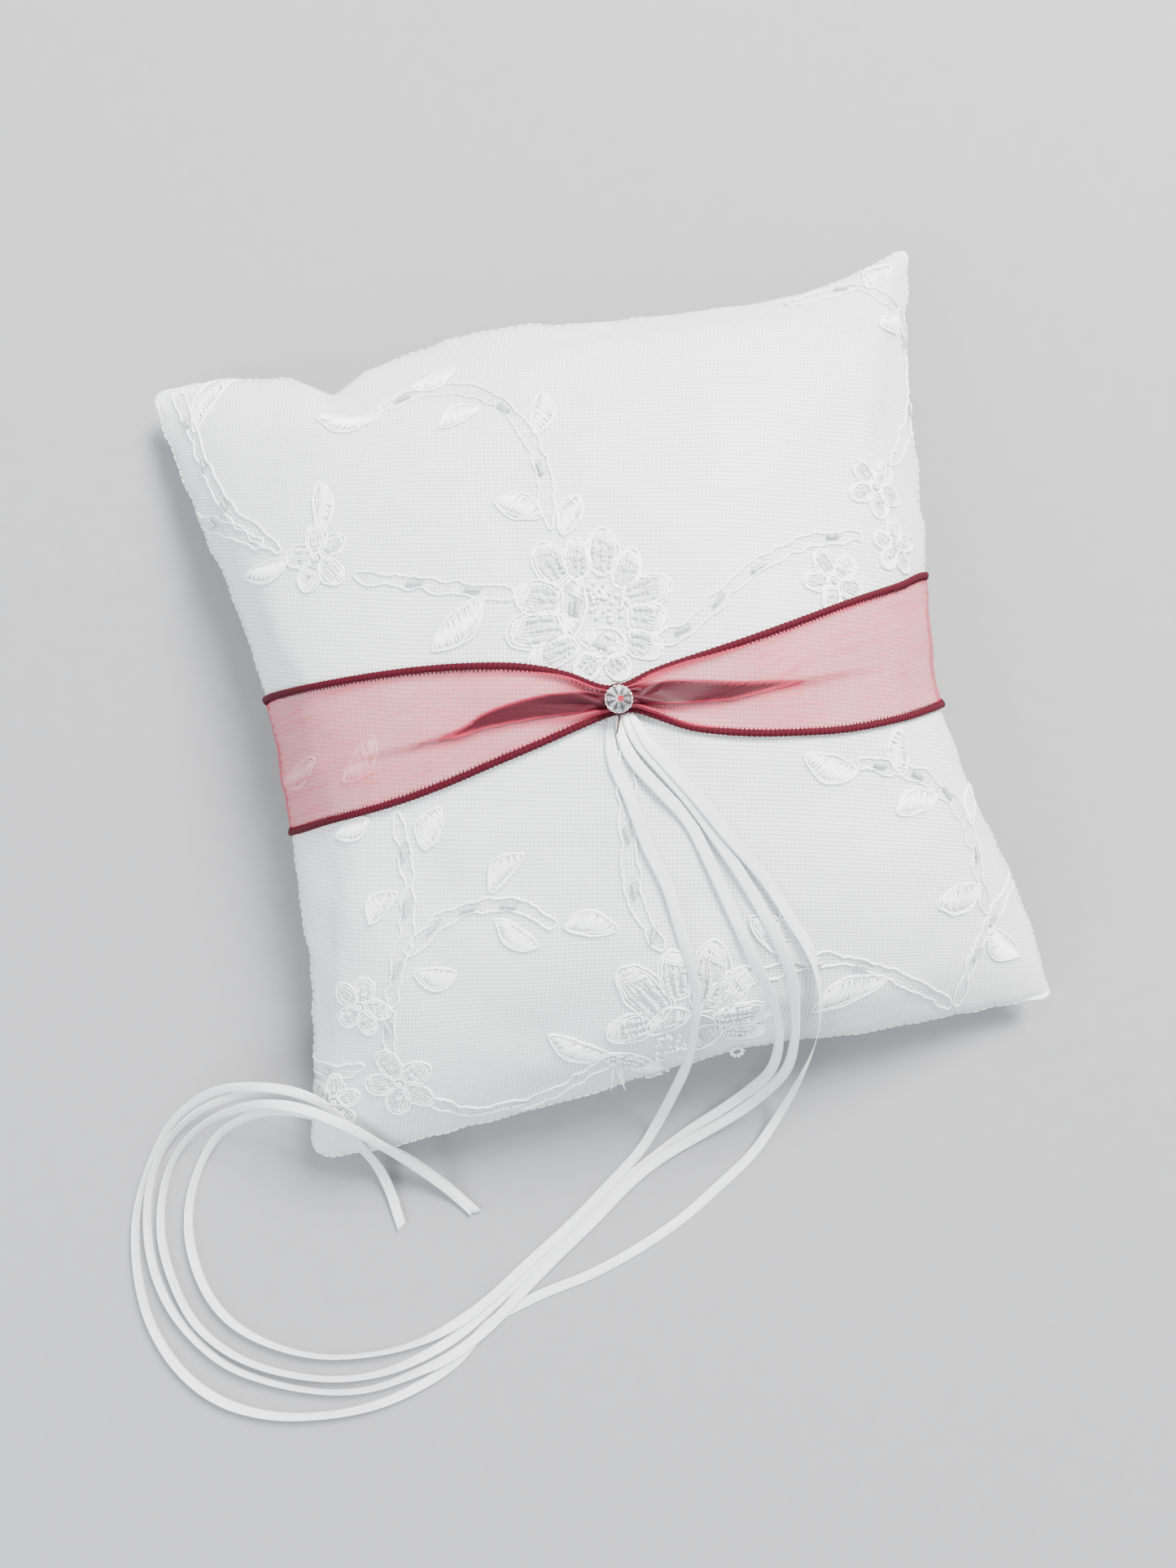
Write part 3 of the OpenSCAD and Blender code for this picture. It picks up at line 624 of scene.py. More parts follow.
def addWrinkles(points, faces, front):
    out = outwards(points, faces)
    isFront = np.zeros(len(points))
    isFront[front.ravel()] = 1
    rim = fromSeam(front)
    push = np.zeros(len(points))
    for i, p in enumerate(points):
        v = Vector(p)
        push[i] = (cushion["lump"] * noise.noise(v * grainOf["lump"])
                   + cushion["lump"] * .35 * noise.noise(v * grainOf["small"] + Vector((3, 1, 7)))
                   + cushion["pucker"] * noise.noise(v * grainOf["pucker"])
                   * math.exp(-rim[i] / cushion["puckerReach"]))
    x, y = points[:, 0], points[:, 1]
    for dx, dy, wide, deep, depth in dents:
        away = ((x / mm - dx) / wide) ** 2 + ((y / mm - dy) / deep) ** 2
        push -= isFront * depth * mm * np.exp(-away)
    # the sash presses a shallow belt into both flanks
    belt = np.exp(-(np.abs(y) / cushion["beltWide"]) ** 6) * np.clip((np.abs(x) - .03) / .05, 0, 1)
    push -= cushion["belt"] * belt
    for heading, reachMm, height, width in folds:
        t = math.radians(heading)
        dx, dy = x - stoneSpot[0], y - stoneSpot[1]
        far = dx * math.cos(t) + dy * math.sin(t)
        off = -dx * math.sin(t) + dy * math.cos(t)
        bend = off - .06 * far * np.sin(far / .03)
        spread = width * mm * (.5 + far / (reachMm * mm))
        strength = np.clip((far - .004) / .010, 0, 1) * np.clip(1 - far / (reachMm * mm), 0, 1) ** 1.2
        push += isFront * height * mm * strength * np.exp(-(bend / np.maximum(spread, .0006)) ** 2)
    points = points + out * push[:, None]
    # one deep pucker in the far seam, left of the middle
    pinch = (np.exp(-np.abs(x - cushion["notchX"]) / cushion["notchWide"])
             * np.exp(-rim / cushion["notchDeep"]) * (y > 0))
    points[:, 1] -= cushion["notch"] * pinch
    # the turned corners are blunt
    slant = (np.abs(points[:, 0]) + np.abs(points[:, 1])) / math.sqrt(2)
    for sx in (1, -1):
        for sy in (1, -1):
            here = (points[:, 0] * sx > cushion["cornerFrom"]) & (points[:, 1] * sy > cushion["cornerFrom"])
            past = slant[here] - (slant[here].max() - cushion["blunt"])
            room = cushion["blunt"] * .55
            drawn = np.where(past > 0, past - room * (1 - np.exp(-np.maximum(past, 0) / room)), 0)
            points[here, :2] -= drawn[:, None] / math.sqrt(2) * np.array([sx, sy])
    # the crown keeps its height under the stone
    near = np.hypot(points[:, 0] - stoneSpot[0], points[:, 1] - stoneSpot[1])
    top = points[(near < .003) & (isFront > 0), 2].mean()
    points[:, 2] += isFront * (cushion["crown"] - top) * np.exp(-(near / .06) ** 2)
    low = (points[:, 2] < .02) & (isFront == 0)
    points[low, 2] = np.maximum(points[low, 2], baseZ(points[low, 1]))
    return points


points, faces, front, back = shapeCushion()
points = addWrinkles(points, faces, front)
out = outwards(points, faces)
netTree = BVHTree.FromPolygons(points.tolist(), faces.tolist())
print("cushion form", len(points), "points, top", round(float(points[:, 2].max()), 4))


# the net's surface at a place that a ray or a nearest search found, with a smooth outward direction
def smoothed(place, index):
    corners = faces[index]
    w = 1 / (np.linalg.norm(points[corners] - np.array(place), axis=1) + 1e-5) ** 2
    return np.array(place), unit((out[corners] * w[:, None]).sum(0))


def nearestOn(p):
    place, _, index, far = netTree.find_nearest(Vector(p))
    return *smoothed(place, index), far


# a list of places with their directions, made two arrays
def apart(laid):
    return tuple(np.array(side) for side in zip(*laid))


# the top over plan position x, y; past the rim it carries on round to the underside
def onTop(x, y, lift=0.0):
    hit = netTree.ray_cast(Vector((x, y, .2)), Vector((0, 0, -1)))
    if hit[0] is None:
        low, high = .5, 1.0
        for _ in range(14):
            mid = (low + high) / 2
            if netTree.ray_cast(Vector((x * mid, y * mid, .2)), Vector((0, 0, -1)))[0] is None:
                high = mid
            else:
                low = mid
        inside = max(low - (1 - low), .6)
        hit = netTree.ray_cast(Vector((x * inside, y * inside, -.1)), Vector((0, 0, 1)))
    place, up = smoothed(hit[0], hit[2])
    return place + up * lift, up


def layOn(line, lift=0.0):
    return apart(onTop(x, y, lift) for x, y in line)


# the surface reached from the cushion's middle towards a point of its plain form
def wrapAt(a, y):
    reach = cushion["half"] * (1 - cushion["waistY"] * math.cos(a) ** 2)
    b = math.asin(max(-.999, min(.999, y / reach)))
    if abs(a) > math.pi / 2:
        target = skin(np.array(math.copysign(math.pi, a) - a), np.array(b), True, False)
    else:
        target = skin(np.array(a), np.array(b), False, False)
    middle = Vector((0, y, .026))
    hit = netTree.ray_cast(middle, (Vector(target) - middle).normalized())
    return smoothed(hit[0], hit[2])


# ribbon tails; each point is x, y, height, roll in degrees, and 1 where the height is over the pillow
tail = dict(width=.003, thick=.00013, across=9, step=.0016, clear=.0003, cup=.00007,
            hold=.006, bunch=.011, slant=.7)
tailRoutes = [
    [
        (-.0004, -.0058, .0003, 0, 1), (-.002, -.0098, .00035, 0, 1), (-.003, -.014, .0004, 0, 1),
        (-.003, -.02, .0006, 0, 1), (-.001, -.027, .001, 0, 1), (.001, -.04, .001, 0, 1),
        (.004, -.051, .001, 0, 1), (.005, -.061, .0011, 15, 1), (.006, -.072, .0014, 35, 1),
        (.006, -.082, .002, 55, 1), (.004, -.091, .0034, 66, 1), (.002, -.099, .039, 66, 0),
        (-.001, -.107, .027, 50, 0), (-.005, -.116, .014, 28, 0), (-.01, -.125, .004, 10, 0),
        (-.017, -.133, .0013, 0, 0), (-.028, -.141, .0013, 0, 0), (-.041, -.15, .0013, 0, 0),
        (-.056, -.159, .0013, 0, 0), (-.069, -.167, .0013, 0, 0), (-.08, -.172, .0015, 30, 0),
        (-.091, -.175, .0018, 70, 0), (-.104, -.176, .0018, 88, 0), (-.12, -.174, .0018, 90, 0),
        (-.134, -.168, .0018, 85, 0), (-.145, -.159, .0018, 70, 0), (-.151, -.148, .0017, 60, 0),
        (-.153, -.134, .0016, 50, 0), (-.151, -.122, .0016, 50, 0), (-.146, -.112, .002, 50, 0),
        (-.138, -.103, .005, 40, 0), (-.128, -.098, .012, 30, 0), (-.117, -.095, .02, 15, 0),
        (-.106, -.096, .025, 0, 0), (-.095, -.101, .0266, 0, 0), (-.088, -.109, .0216, 0, 0),
        (-.083, -.118, .011, 0, 0), (-.075, -.131, .002, 0, 0), (-.068, -.141, .0009, 0, 0),
    ],
    [
        (.0006, -.0058, .0003, 0, 1), (0, -.0098, .0007, 0, 1), (0, -.014, .0008, 0, 1),
        (.002, -.02, .0012, 0, 1), (.007, -.028, .0012, 0, 1), (.012, -.036, .0009, 0, 1),
        (.015, -.046, .0009, 0, 1), (.018, -.058, .001, 0, 1), (.021, -.07, .0015, 15, 1),
        (.024, -.081, .0019, 35, 1), (.026, -.091, .0032, 50, 1), (.026, -.1, .039, 55, 0),
        (.024, -.111, .023, 45, 0), (.018, -.119, .01, 25, 0), (.009, -.125, .0035, 10, 0),
        (-.002, -.13, .0013, 0, 0), (-.014, -.136, .0009, 0, 0), (-.027, -.143, .0009, 0, 0),
        (-.041, -.153, .0009, 0, 0), (-.055, -.161, .0009, 0, 0), (-.07, -.17, .0009, 0, 0),
        (-.081, -.176, .001, 20, 0), (-.093, -.18, .0014, 50, 0), (-.105, -.182, .0016, 75, 0),
        (-.119, -.181, .0016, 85, 0), (-.134, -.176, .0016, 85, 0), (-.147, -.168, .0016, 80, 0),
        (-.156, -.157, .0016, 70, 0), (-.16, -.144, .0016, 65, 0), (-.161, -.13, .0016, 60, 0),
        (-.158, -.117, .0016, 60, 0), (-.152, -.107, .003, 60, 0), (-.142, -.099, .007, 50, 0),
        (-.13, -.0945, .014, 30, 0), (-.117, -.0925, .022, 15, 0), (-.105, -.095, .0264, 0, 0),
        (-.095, -.101, .0278, 0, 0), (-.087, -.11, .0226, 0, 0), (-.08, -.123, .0086, 0, 0),
        (-.073, -.134, .0022, 0, 0), (-.069, -.14, .0013, 0, 0),
    ],
    [
        (.0014, -.0058, .0003, 0, 1), (.002, -.0098, .00105, 0, 1), (.003, -.014, .0012, 0, 1),
        (.007, -.021, .0016, 0, 1), (.013, -.031, .0015, 0, 1), (.019, -.044, .001, 0, 1),
        (.024, -.056, .001, 0, 1), (.028, -.068, .0014, 15, 1), (.031, -.08, .0019, 30, 1),
        (.031, -.091, .0032, 48, 1), (.03, -.1, .04, 55, 0), (.028, -.11, .028, 45, 0),
        (.023, -.118, .016, 28, 0), (.015, -.125, .007, 12, 0), (.005, -.13, .003, 0, 0),
        (-.009, -.135, .0019, 0, 0), (-.021, -.141, .0019, 0, 0), (-.034, -.15, .0019, 0, 0),
        (-.048, -.159, .0019, 0, 0), (-.061, -.168, .0017, 0, 0), (-.071, -.175, .0016, 10, 0),
        (-.083, -.181, .0016, 30, 0), (-.095, -.184, .0016, 60, 0), (-.109, -.186, .0016, 80, 0),
        (-.123, -.184, .0016, 88, 0), (-.138, -.178, .0016, 85, 0), (-.15, -.17, .0018, 80, 0),
        (-.159, -.158, .0018, 70, 0), (-.164, -.145, .0018, 65, 0), (-.165, -.131, .0017, 60, 0),
        (-.162, -.116, .0018, 60, 0), (-.155, -.104, .003, 60, 0), (-.143, -.095, .007, 45, 0),
        (-.129, -.091, .012, 25, 0), (-.116, -.0905, .0184, 10, 0), (-.105, -.093, .0228, 0, 0),
        (-.097, -.1, .0238, 0, 0), (-.095, -.105, .0218, 0, 0), (-.094, -.111, .0156, 0, 0),
        (-.093, -.121, .0044, 0, 0), (-.092, -.128, .0014, 0, 0), (-.091, -.134, .0006, 0, 0),
    ],
    [
        (.0024, -.0058, .0003, 0, 1), (.004, -.01, .0014, 0, 1), (.005, -.014, .0016, 0, 1),
        (.009, -.021, .002, 0, 1), (.015, -.031, .0019, 0, 1), (.021, -.042, .0015, 0, 1),
        (.028, -.054, .0012, 0, 1), (.033, -.066, .0015, -20, 1), (.037, -.077, .0018, -45, 1),
        (.038, -.088, .0024, -62, 1), (.037, -.098, .04, -66, 0), (.035, -.107, .03, -58, 0),
        (.031, -.119, .015, -35, 0), (.025, -.13, .005, -15, 0), (.016, -.14, .0016, 0, 0),
        (.004, -.148, .0005, 0, 0), (-.008, -.155, .0005, 0, 0), (-.022, -.161, .0005, 0, 0),
        (-.038, -.166, .0005, 0, 0), (-.054, -.169, .0005, 0, 0), (-.07, -.174, .0005, 0, 0),
        (-.082, -.183, .0007, 20, 0), (-.094, -.188, .0011, 40, 0), (-.108, -.191, .0016, 60, 0),
        (-.123, -.191, .0018, 75, 0), (-.139, -.188, .0018, 70, 0), (-.153, -.181, .0017, 60, 0),
        (-.163, -.17, .0016, 60, 0), (-.169, -.155, .0016, 60, 0), (-.17, -.139, .0016, 60, 0),
        (-.167, -.122, .0016, 60, 0), (-.159, -.107, .003, 60, 0), (-.148, -.095, .007, 45, 0),
        (-.133, -.088, .013, 25, 0), (-.117, -.088, .0204, 10, 0), (-.104, -.092, .0244, 0, 0),
        (-.096, -.099, .025, 0, 0), (-.0945, -.105, .0229, 0, 0), (-.0935, -.111, .0168, 0, 0),
        (-.0925, -.121, .0058, 0, 0), (-.0915, -.129, .0022, 0, 0), (-.0905, -.141, .0009, 0, 0),
    ],
]


def tailLine(route):
    rows = []
    for x, y, height, roll, over in route:
        rows.append((x, y, onTop(x, y)[0][2] + height if over else height, roll))
    line = evenly(smoothLine(rows, 10), tail["step"])
    # a ribbon on its edge stands higher off what it lies on
    stand = tail["width"] / 2 * np.abs(np.sin(np.radians(line[:, 3])))
    for _ in range(4):
        for i in range(len(line)):
            spot, up, far = nearestOn(line[i, :3])
            gap = float((line[i, :3] - spot) @ up)
            room = tail["clear"] + stand[i]
            if gap < room and far < 2 * tail["hold"]:
                line[i, :3] += up * (room - gap)
        line[1:-1, :3] = line[1:-1, :3] * .5 + (line[:-2, :3] + line[2:, :3]) * .25
    line[:, 2] = np.maximum(line[:, 2], tail["thick"] / 2 + .0001 + stand)
    return line


def tailUp(line):
    ups = []
    for p in line[:, :3]:
        _, up, far = nearestOn(p)
        share = max(0, 1 - far / tail["hold"])
        ups.append(up * share + np.array([0, 0, 1.0]) * (1 - share))
    ups = unit(np.array(ups))
    for _ in range(6):
        ups[1:-1] = unit(ups[:-2] + ups[1:-1] * 2 + ups[2:])
    return ups


def makeTail(index, route):
    line = tailLine(route)
    t = headings(line[:, :3])
    side = unit(np.cross(tailUp(line), t))
    up = np.cross(t, side)
    roll = np.radians(line[:, 3])[:, None]
    s, n = side * np.cos(roll) + up * np.sin(roll), up * np.cos(roll) - side * np.sin(roll)
    far = along(line[:, :3])
    k = tail["across"]
    w = np.linspace(-1, 1, k)
    flutter = np.array([noise.noise(Vector((f * 40, index * 9.0, 0))) for f in far])[:, None]
    cup = tail["cup"] * (1 + flutter) * (1 - w ** 2)
    half = tail["width"] / 2
    slant = np.zeros((len(line), k))
    slant[-1] = w * half * tail["slant"] * (1 if index % 2 else -1)  # the ends are cut on the slant
    slant[-2] = slant[-1] * .4
    # gathered in under the stone
    spread = (.42 + .58 * np.clip(far / tail["bunch"], 0, 1))[:, None]
    top = []
    for sign in (1, -1):
        thick = tail["thick"] / 2 * (1 + .35 * (np.abs(w) > .8))
        top.append(line[:, None, :3] + (w[None] * spread)[..., None] * half * s[:, None]
                   + (cup + sign * thick)[..., None] * n[:, None] + slant[..., None] * t[:, None])
    ring = np.concatenate([top[0], top[1][:, ::-1]], 1)
    marks = np.stack([np.repeat(far, 2 * k), np.tile(np.concatenate([w, w[::-1]]), len(far))], 1)
    m = 2 * k
    body = [(i * m + j, (i + 1) * m + j, (i + 1) * m + (j + 1) % m, i * m + (j + 1) % m)
            for i in range(len(line) - 1) for j in range(m)]
    body.append(tuple(range(m)))
    body.append(tuple((len(line) - 1) * m + j for j in reversed(range(m))))
    bag = Bag()
    bag.add(ring.reshape(-1, 3), [f[::-1] for f in body], marks)
    made = bag.piece(f"ribbonTail{index}", ribbonWhite, f"ribbon_tail_{index}")


ribbonWhite = ribbonFinish()
for index, route in enumerate(tailRoutes, 1):
    makeTail(index, route)
print("ribbon tails laid")


# filling, satin case and net
layers = dict(net=0.0, satin=.00045, filling=.0011, satinThick=.0003, cornerReach=.012, cornerLeast=.25)
cornerGap = np.hypot(*(np.abs(points[:, k]) - cushion["half"] for k in (0, 1)))
cornerRoom = np.clip(cornerGap / layers["cornerReach"], layers["cornerLeast"], 1)


def panel(name, grid, flip, depth, material, stands):
    # inner layers draw back less where the corners come to a point
    spots = points[grid.ravel()] - out[grid.ravel()] * (depth * cornerRoom[grid.ravel()])[:, None]
    local = np.arange(grid.size).reshape(grid.shape)
    place = np.linspace(-cushion["half"], cushion["half"], grid.shape[0])
    u, v = np.meshgrid(place, place, indexing="ij")
    bag = Bag()
    bag.add(spots, gridFaces(local, flip).tolist(), np.stack([u.ravel() * (-1 if flip else 1), v.ravel()], 1))
    return bag.piece(name, material, stands)


def makeCase():
    # the filling is the closed, crowned form itself
    step = 2
    inner = points - out * (layers["filling"] * cornerRoom)[:, None]
    spots, quads, _, _ = shell((front.shape[0] - 1) // step, inner[front[::step, ::step]],
                               inner[back[::step, ::step]])
    bag = Bag()
    bag.add(spots, quads.tolist())
    filling = bag.piece("fibreFilling", fluffFinish(), "fibre_filling")

    satin, net = satinFinish(), netFinish()
    for side, grid, flip in (("Front", front, False), ("Back", back, True)):
        case = panel(f"satin{side}", grid, flip, layers["satin"], satin,
                     f"satin_{side.lower()}_panel")
        wall = case.modifiers.new("cloth", "SOLIDIFY")
        wall.thickness, wall.offset = layers["satinThick"], -1
        selectOnly(case)
        bpy.ops.object.modifier_apply(modifier="cloth")
        tulle = panel(f"net{side}", grid, flip, layers["net"], net, f"net_{side.lower()}")
    print("filling, satin case and net made")


makeCase()

seam = dict(stitch=.0021, gap=.0005, thick=.00019, tip=.35, pinch=.45)


# a short bowed stitch: a capsule with pinched ends
def stitchPattern():
    bpy.ops.mesh.primitive_cylinder_add(vertices=6, radius=1, depth=2, location=(0, 0, 0),
                                        rotation=(0, math.pi / 2, 0), end_fill_type="NGON")
    bpy.ops.object.transform_apply(location=True, rotation=True, scale=True)
    mode("EDIT")
    bpy.ops.mesh.select_mode(type="FACE")
    for sign in (1, -1):
        bpy.ops.mesh.select_all(action="DESELECT")
        mode("OBJECT")
        for face in bpy.context.object.data.polygons:
            face.select = face.normal.x * sign > .9
        mode("EDIT")
        pull(sign * seam["tip"], 0, 0)
        bpy.ops.transform.resize(value=(1, seam["pinch"], seam["pinch"]),
                                 center_override=(sign * (1 + seam["tip"]), 0, 0))
    mode("OBJECT")
    bpy.context.object.data.transform(Matrix.Diagonal((1 / (1 + seam["tip"]), 1, 1, 1)))


stitch = pattern(stitchPattern)
whiteThread = threadFinish("whiteThread", (.80, .81, .82, 1), (.98, .98, .97, 1), 900)


def makeSeam():
    ring = np.concatenate([front[:, 0], front[-1, 1:], front[-2::-1, -1], front[0, -2:0:-1]])
    line, up = points[ring], out[ring]
    both = evenly(np.hstack([line, up]), seam["stitch"] + seam["gap"], True)
    t = headings(both[:, :3], True)
    bag = Bag()
    scatter(bag, stitch, [frameAt(p[:3] + unit(p[3:]) * seam["thick"] * .5, h, p[3:],
                                  (seam["stitch"] / 2, seam["thick"], seam["thick"]))
                          for p, h in zip(both, t)])
    bag.piece("seamStitches", whiteThread, "edge_seam_thread")
    print("seam sewn with", len(both), "stitches")


makeSeam()

# corded lace: plan places in millimetres; what passes the rim is laid round to the underside
lace = dict(cord=.00032, flat=.9, lift=.0002, vine=3.2, wobble=.40, stitch=.40, yarn=.0002,
            heartCord=.00036, step=.75, waver=.30)
vines = [
    [(-104, 112), (-99, 97), (-93, 75), (-84, 61), (-76, 52)],
    [(-104, 73), (-92, 64), (-81, 56)],
    [(-57, 40), (-46, 36), (-33, 31), (-19, 26)],
    [(-44, 82), (-32, 85), (-17, 80), (-9, 69), (-6, 57), (-7, 40)],
    [(12, 8), (22, 10), (34, 18), (48, 24), (58, 26), (70, 25)],
    [(69, 95), (80, 97), (91, 98), (101, 90)],
    [(102, 91), (103, 79), (100, 67), (96, 58), (91, 51), (85, 44)],
    [(-58, -20), (-59, -36), (-62, -49), (-68, -61), (-72, -70)],
    [(-72, -70), (-74, -76), (-75, -82)],
    [(-64, -56), (-53, -49), (-42, -47), (-32, -49), (-25, -55)],
    [(-106, -84), (-96, -86), (-84, -85)],
    [(-68, -98), (-58, -104), (-40, -104), (-26, -98), (-16, -94)],
    [(1, -15), (-2, -30), (-4, -44), (-4, -55), (0, -67)],
    [(18, -80), (30, -78), (46, -80), (57, -87), (69, -96), (76, -103)],
    [(57, -31), (67, -34), (76, -39), (83, -46), (86, -54), (87, -66), (88, -78)],
    [(106, -71), (95, -75), (87, -83), (80, -94), (78, -103)],
]
# stem end, tip, width and the share by which each leaf bows
leaves = [
    ((-98, 95), (-84, 115), 8, .10), ((-64, 53), (-62, 67), 5.5, -.08), ((-74, 49), (-89, 50), 5.5, .1),
    ((-26, 27), (-41, 17), 7.5, .05), ((-44, 81), (-61, 86), 5.5, .14), ((-35, 87), (-23, 91), 5, -.1),
    ((-29, 73), (-18, 76), 5, .1), ((-6, 65), (-2, 77), 6, -.1), ((-19, 50), (-8, 44), 6.5, .06),
    ((-4, 38), (2, 47), 6, .06), ((93, 97), (104, 105), 6, .1), ((92, 84), (101, 89), 5, -.1),
    ((-53, -31), (-47, -21), 6.5, .1), ((-63, -40), (-72, -47), 5.5, -.16),
    ((-39, -44), (-29, -36), 5.5, .12),
    ((-39, -51), (-30, -60), 6, -.1), ((-23, -56), (-10, -59), 6.5, .1), ((-63, -61), (-52, -63), 6, -.16),
    ((-18, -93), (-33, -84), 6.5, .12), ((23, -63), (31, -75), 8, .1), ((31, -63), (38, -80), 7.5, -.1),
    ((57, -88), (36, -93), 7.5, -.08), ((57, -33), (43, -26), 7, .1), ((69, -36), (70, -24), 6.5, .1),
    ((78, -44), (65, -45), 6.5, -.1), ((88, -53), (93, -43), 5, .12), ((87, -70), (73, -72), 8, .05),
    ((88, -82), (98, -93), 7.5, -.1), ((-60, 0), (-71, -10), 6, .1), ((-78, -2), (-93, -6), 5.5, .1),
    ((-66, -20), (-76, -23), 5, .1),
]
# heart, reach and first petal of each five-petalled flower
flowers = [
    ((-66, 47), 9.5, 20), ((78, 38), 8.5, 50), ((80, 22), 7.5, 10), ((60, 15), 8.5, 35),
    ((-80, -68), 8.5, 60), ((-75, -91), 10.5, 30), ((-96, -95), 8.5, 75),
]
# petals of the two large flowers: base, tip and width
upperPetals = [
    ((-6.9, 28.2), (-10.3, 36.8), 6.8), ((-2.2, 27.7), (-1.7, 36.4), 5.4), ((3.9, 28), (5.4, 37.4), 6.3),
    ((7.6, 23.4), (12, 30.6), 5.6), ((9, 20.3), (18.8, 20.8), 6.6), ((8.8, 14.9), (16.2, 12.2), 7),
    ((6.8, 9.5), (13.6, 5.6), 5.8), ((-8.9, 22.6), (-18, 25.6), 7), ((-9.8, 16.1), (-21.6, 16.8), 8),
    ((-7.7, 11), (-18, 8.6), 5.6), ((-2.8, 6.6), (-7.4, 2.8), 5), ((1.6, 5.6), (3.8, .8), 4.6),
]
lowerPetals = [
    ((-3.3, -82.5), (-10.8, -69.6), 8.6), ((1.8, -78.6), (2, -67.6), 6.8), ((8.4, -83), (13.2, -67.6), 8.4),
    ((9.6, -85.5), (20.6, -76.8), 7), ((12.1, -88.6), (25.4, -89.8), 6), ((13.7, -94.6), (23, -96.2), 4),
    ((-7.2, -85.8), (-17.8, -87), 6.6), ((-18, -94.5), (-6, -102), 4.2),
]
heartLeaves = [((-6.8, 12.8), (-2.5, 27.8), 7.2, .06), ((-5.3, 12), (6.2, 7), 7, .06),
               ((-8.1, -88.8), (4.8, -85), 6.4, .08), ((4, -98), (11.8, -91), 7.4, .1)]
knotSpots = [((3.6, 19), 5.2, 40), ((1.6, 24), 3.2, 16), ((0, 9), 5, 14), ((-3, -94.6), 6, 34)]
backVines = [
    [(-99, 98), (-88, 86), (-78, 80), (-64, 76)], [(94, 92), (80, 84), (76, 70)],
    [(-94, -84), (-80, -78), (-66, -79)], [(22, -92), (34, -84), (48, -82), (60, -86)],
    [(92, 44), (80, 52), (70, 57)],
]
backLeaves = [
    ((-80, 87), (-71, 94), 6, .1), ((-84, 74), (-74, 68), 6, .1), ((70, 90), (60, 86), 6, .1),
    ((84, 72), (80, 60), 6, -.1), ((-80, -86), (-70, -92), 6, .1), ((48, -89), (58, -94), 6, .1),
    ((66, -79), (76, -84), 6, -.1), ((66, 62), (58, 70), 6, .1), ((-90, 58), (-86, 46), 5, .1),
    ((20, -84), (28, -76), 6, .1),
]
backPetals = [((4, -84), 5, 12.5, angle) for angle in range(-100, 250, 40)]


def underside(line, lift):
    laid = []
    for x, y in line:
        hit, k = (None,), 1.0
        while hit[0] is None and k > .5:
            hit = netTree.ray_cast(Vector((x * k, y * k, -.1)), Vector((0, 0, 1)))
            k -= .015
        place, up = smoothed(hit[0], hit[2])
        laid.append((place + up * lift, up))
    return apart(laid)


def cord(bag, line, lay, radius=lace["cord"]):
    # line is in millimetres; its small waver is drawn in order from the seeded numbers
    route = evenly(np.array(line, float), lace["step"], True)
    n = len(route)
    waver = np.convolve(np.tile(rng.normal(size=n), 3), np.ones(4) / 4, "same")[n:2 * n]
    t = headings(route, True)
    route = route + np.stack([-t[:, 1], t[:, 0]], 1) * (waver * lace["waver"])[:, None]
    laid, up = lay(route * mm, lace["lift"])
    tube(bag, laid, up, radius, 6, lace["flat"], True)


def bladeShape(stem, tip, width, bow, blunt=.75):
    stem, tip = np.array(stem, float), np.array(tip, float)
    ahead = tip - stem
    side = np.array([-ahead[1], ahead[0]]) / np.linalg.norm(ahead)

    def at(t, share):
        t = np.asarray(t, float)
        reach = width / 2 * np.sin(math.pi * np.clip(t, 0, 1)) ** blunt
        bend = bow * np.linalg.norm(ahead) * np.sin(math.pi * t)
        return stem + ahead * t[..., None] + side * (reach * share + bend)[..., None]
    return at, float(np.linalg.norm(ahead))


def outline(at, low=0.0, high=1.0):
    t = np.linspace(low, high, 16)
    return np.vstack([at(t, 1), at(t[-2:0:-1], -1)])


# a cord round a leaf or petal, and a thinner one inside it that runs from one share to the other
def doubleCord(bag, at, lay, low, inner, ends, thin):
    cord(bag, outline(at, low), lay)
    cord(bag, outline(lambda t, share: at(t, share * inner), *ends), lay, lace["cord"] * thin)


# rows of raised stitches across or along a leaf or petal
def fillWith(bag, at, long, lay, across=True, low=.08, high=.93, dense=1.0):
    seams = []
    if across:
        for t in np.arange(low, high, lace["stitch"] / long / dense):
            lean = .09 + rng.normal() * .014
            a = at(np.clip(t - lean, .03, .97), -.82 - .1 * rng.random())
            b = at(np.clip(t + lean, .03, .97), .82 + .1 * rng.random())
            seams.append((a, b))
    else:
        for row in np.linspace(-.8, .8, 9):
            t = low + rng.random() * .04
            while t < high - .08:
                step = (.22 + .10 * rng.random())
                seams.append((at(t, row), at(min(t + step, high), row + rng.normal() * .08)))
                t += step * .82
    for a, b in seams:
        if np.linalg.norm(b - a) < .5:
            continue
        w = np.linspace(0, 1, 5)[:, None]
        spots, up = lay((a + (b - a) * w) * mm, 0)
        rise = lace["yarn"] * (.6 + 1.3 * np.sin(math.pi * w) * (1 if across else .5)) + rng.random() * .00008
        r = lace["yarn"] * np.array([.45, 1, 1.1, 1, .45]) * (.8 + .3 * rng.random())
        tube(bag, spots + up * rise, up, r, 4, .8)


def leaf(bag, row, lay):
    at, long = bladeShape(*row)
    doubleCord(bag, at, lay, 0.0, .8, (.06, .94), .75)
    fillWith(bag, at, long, lay, dense=1.25)


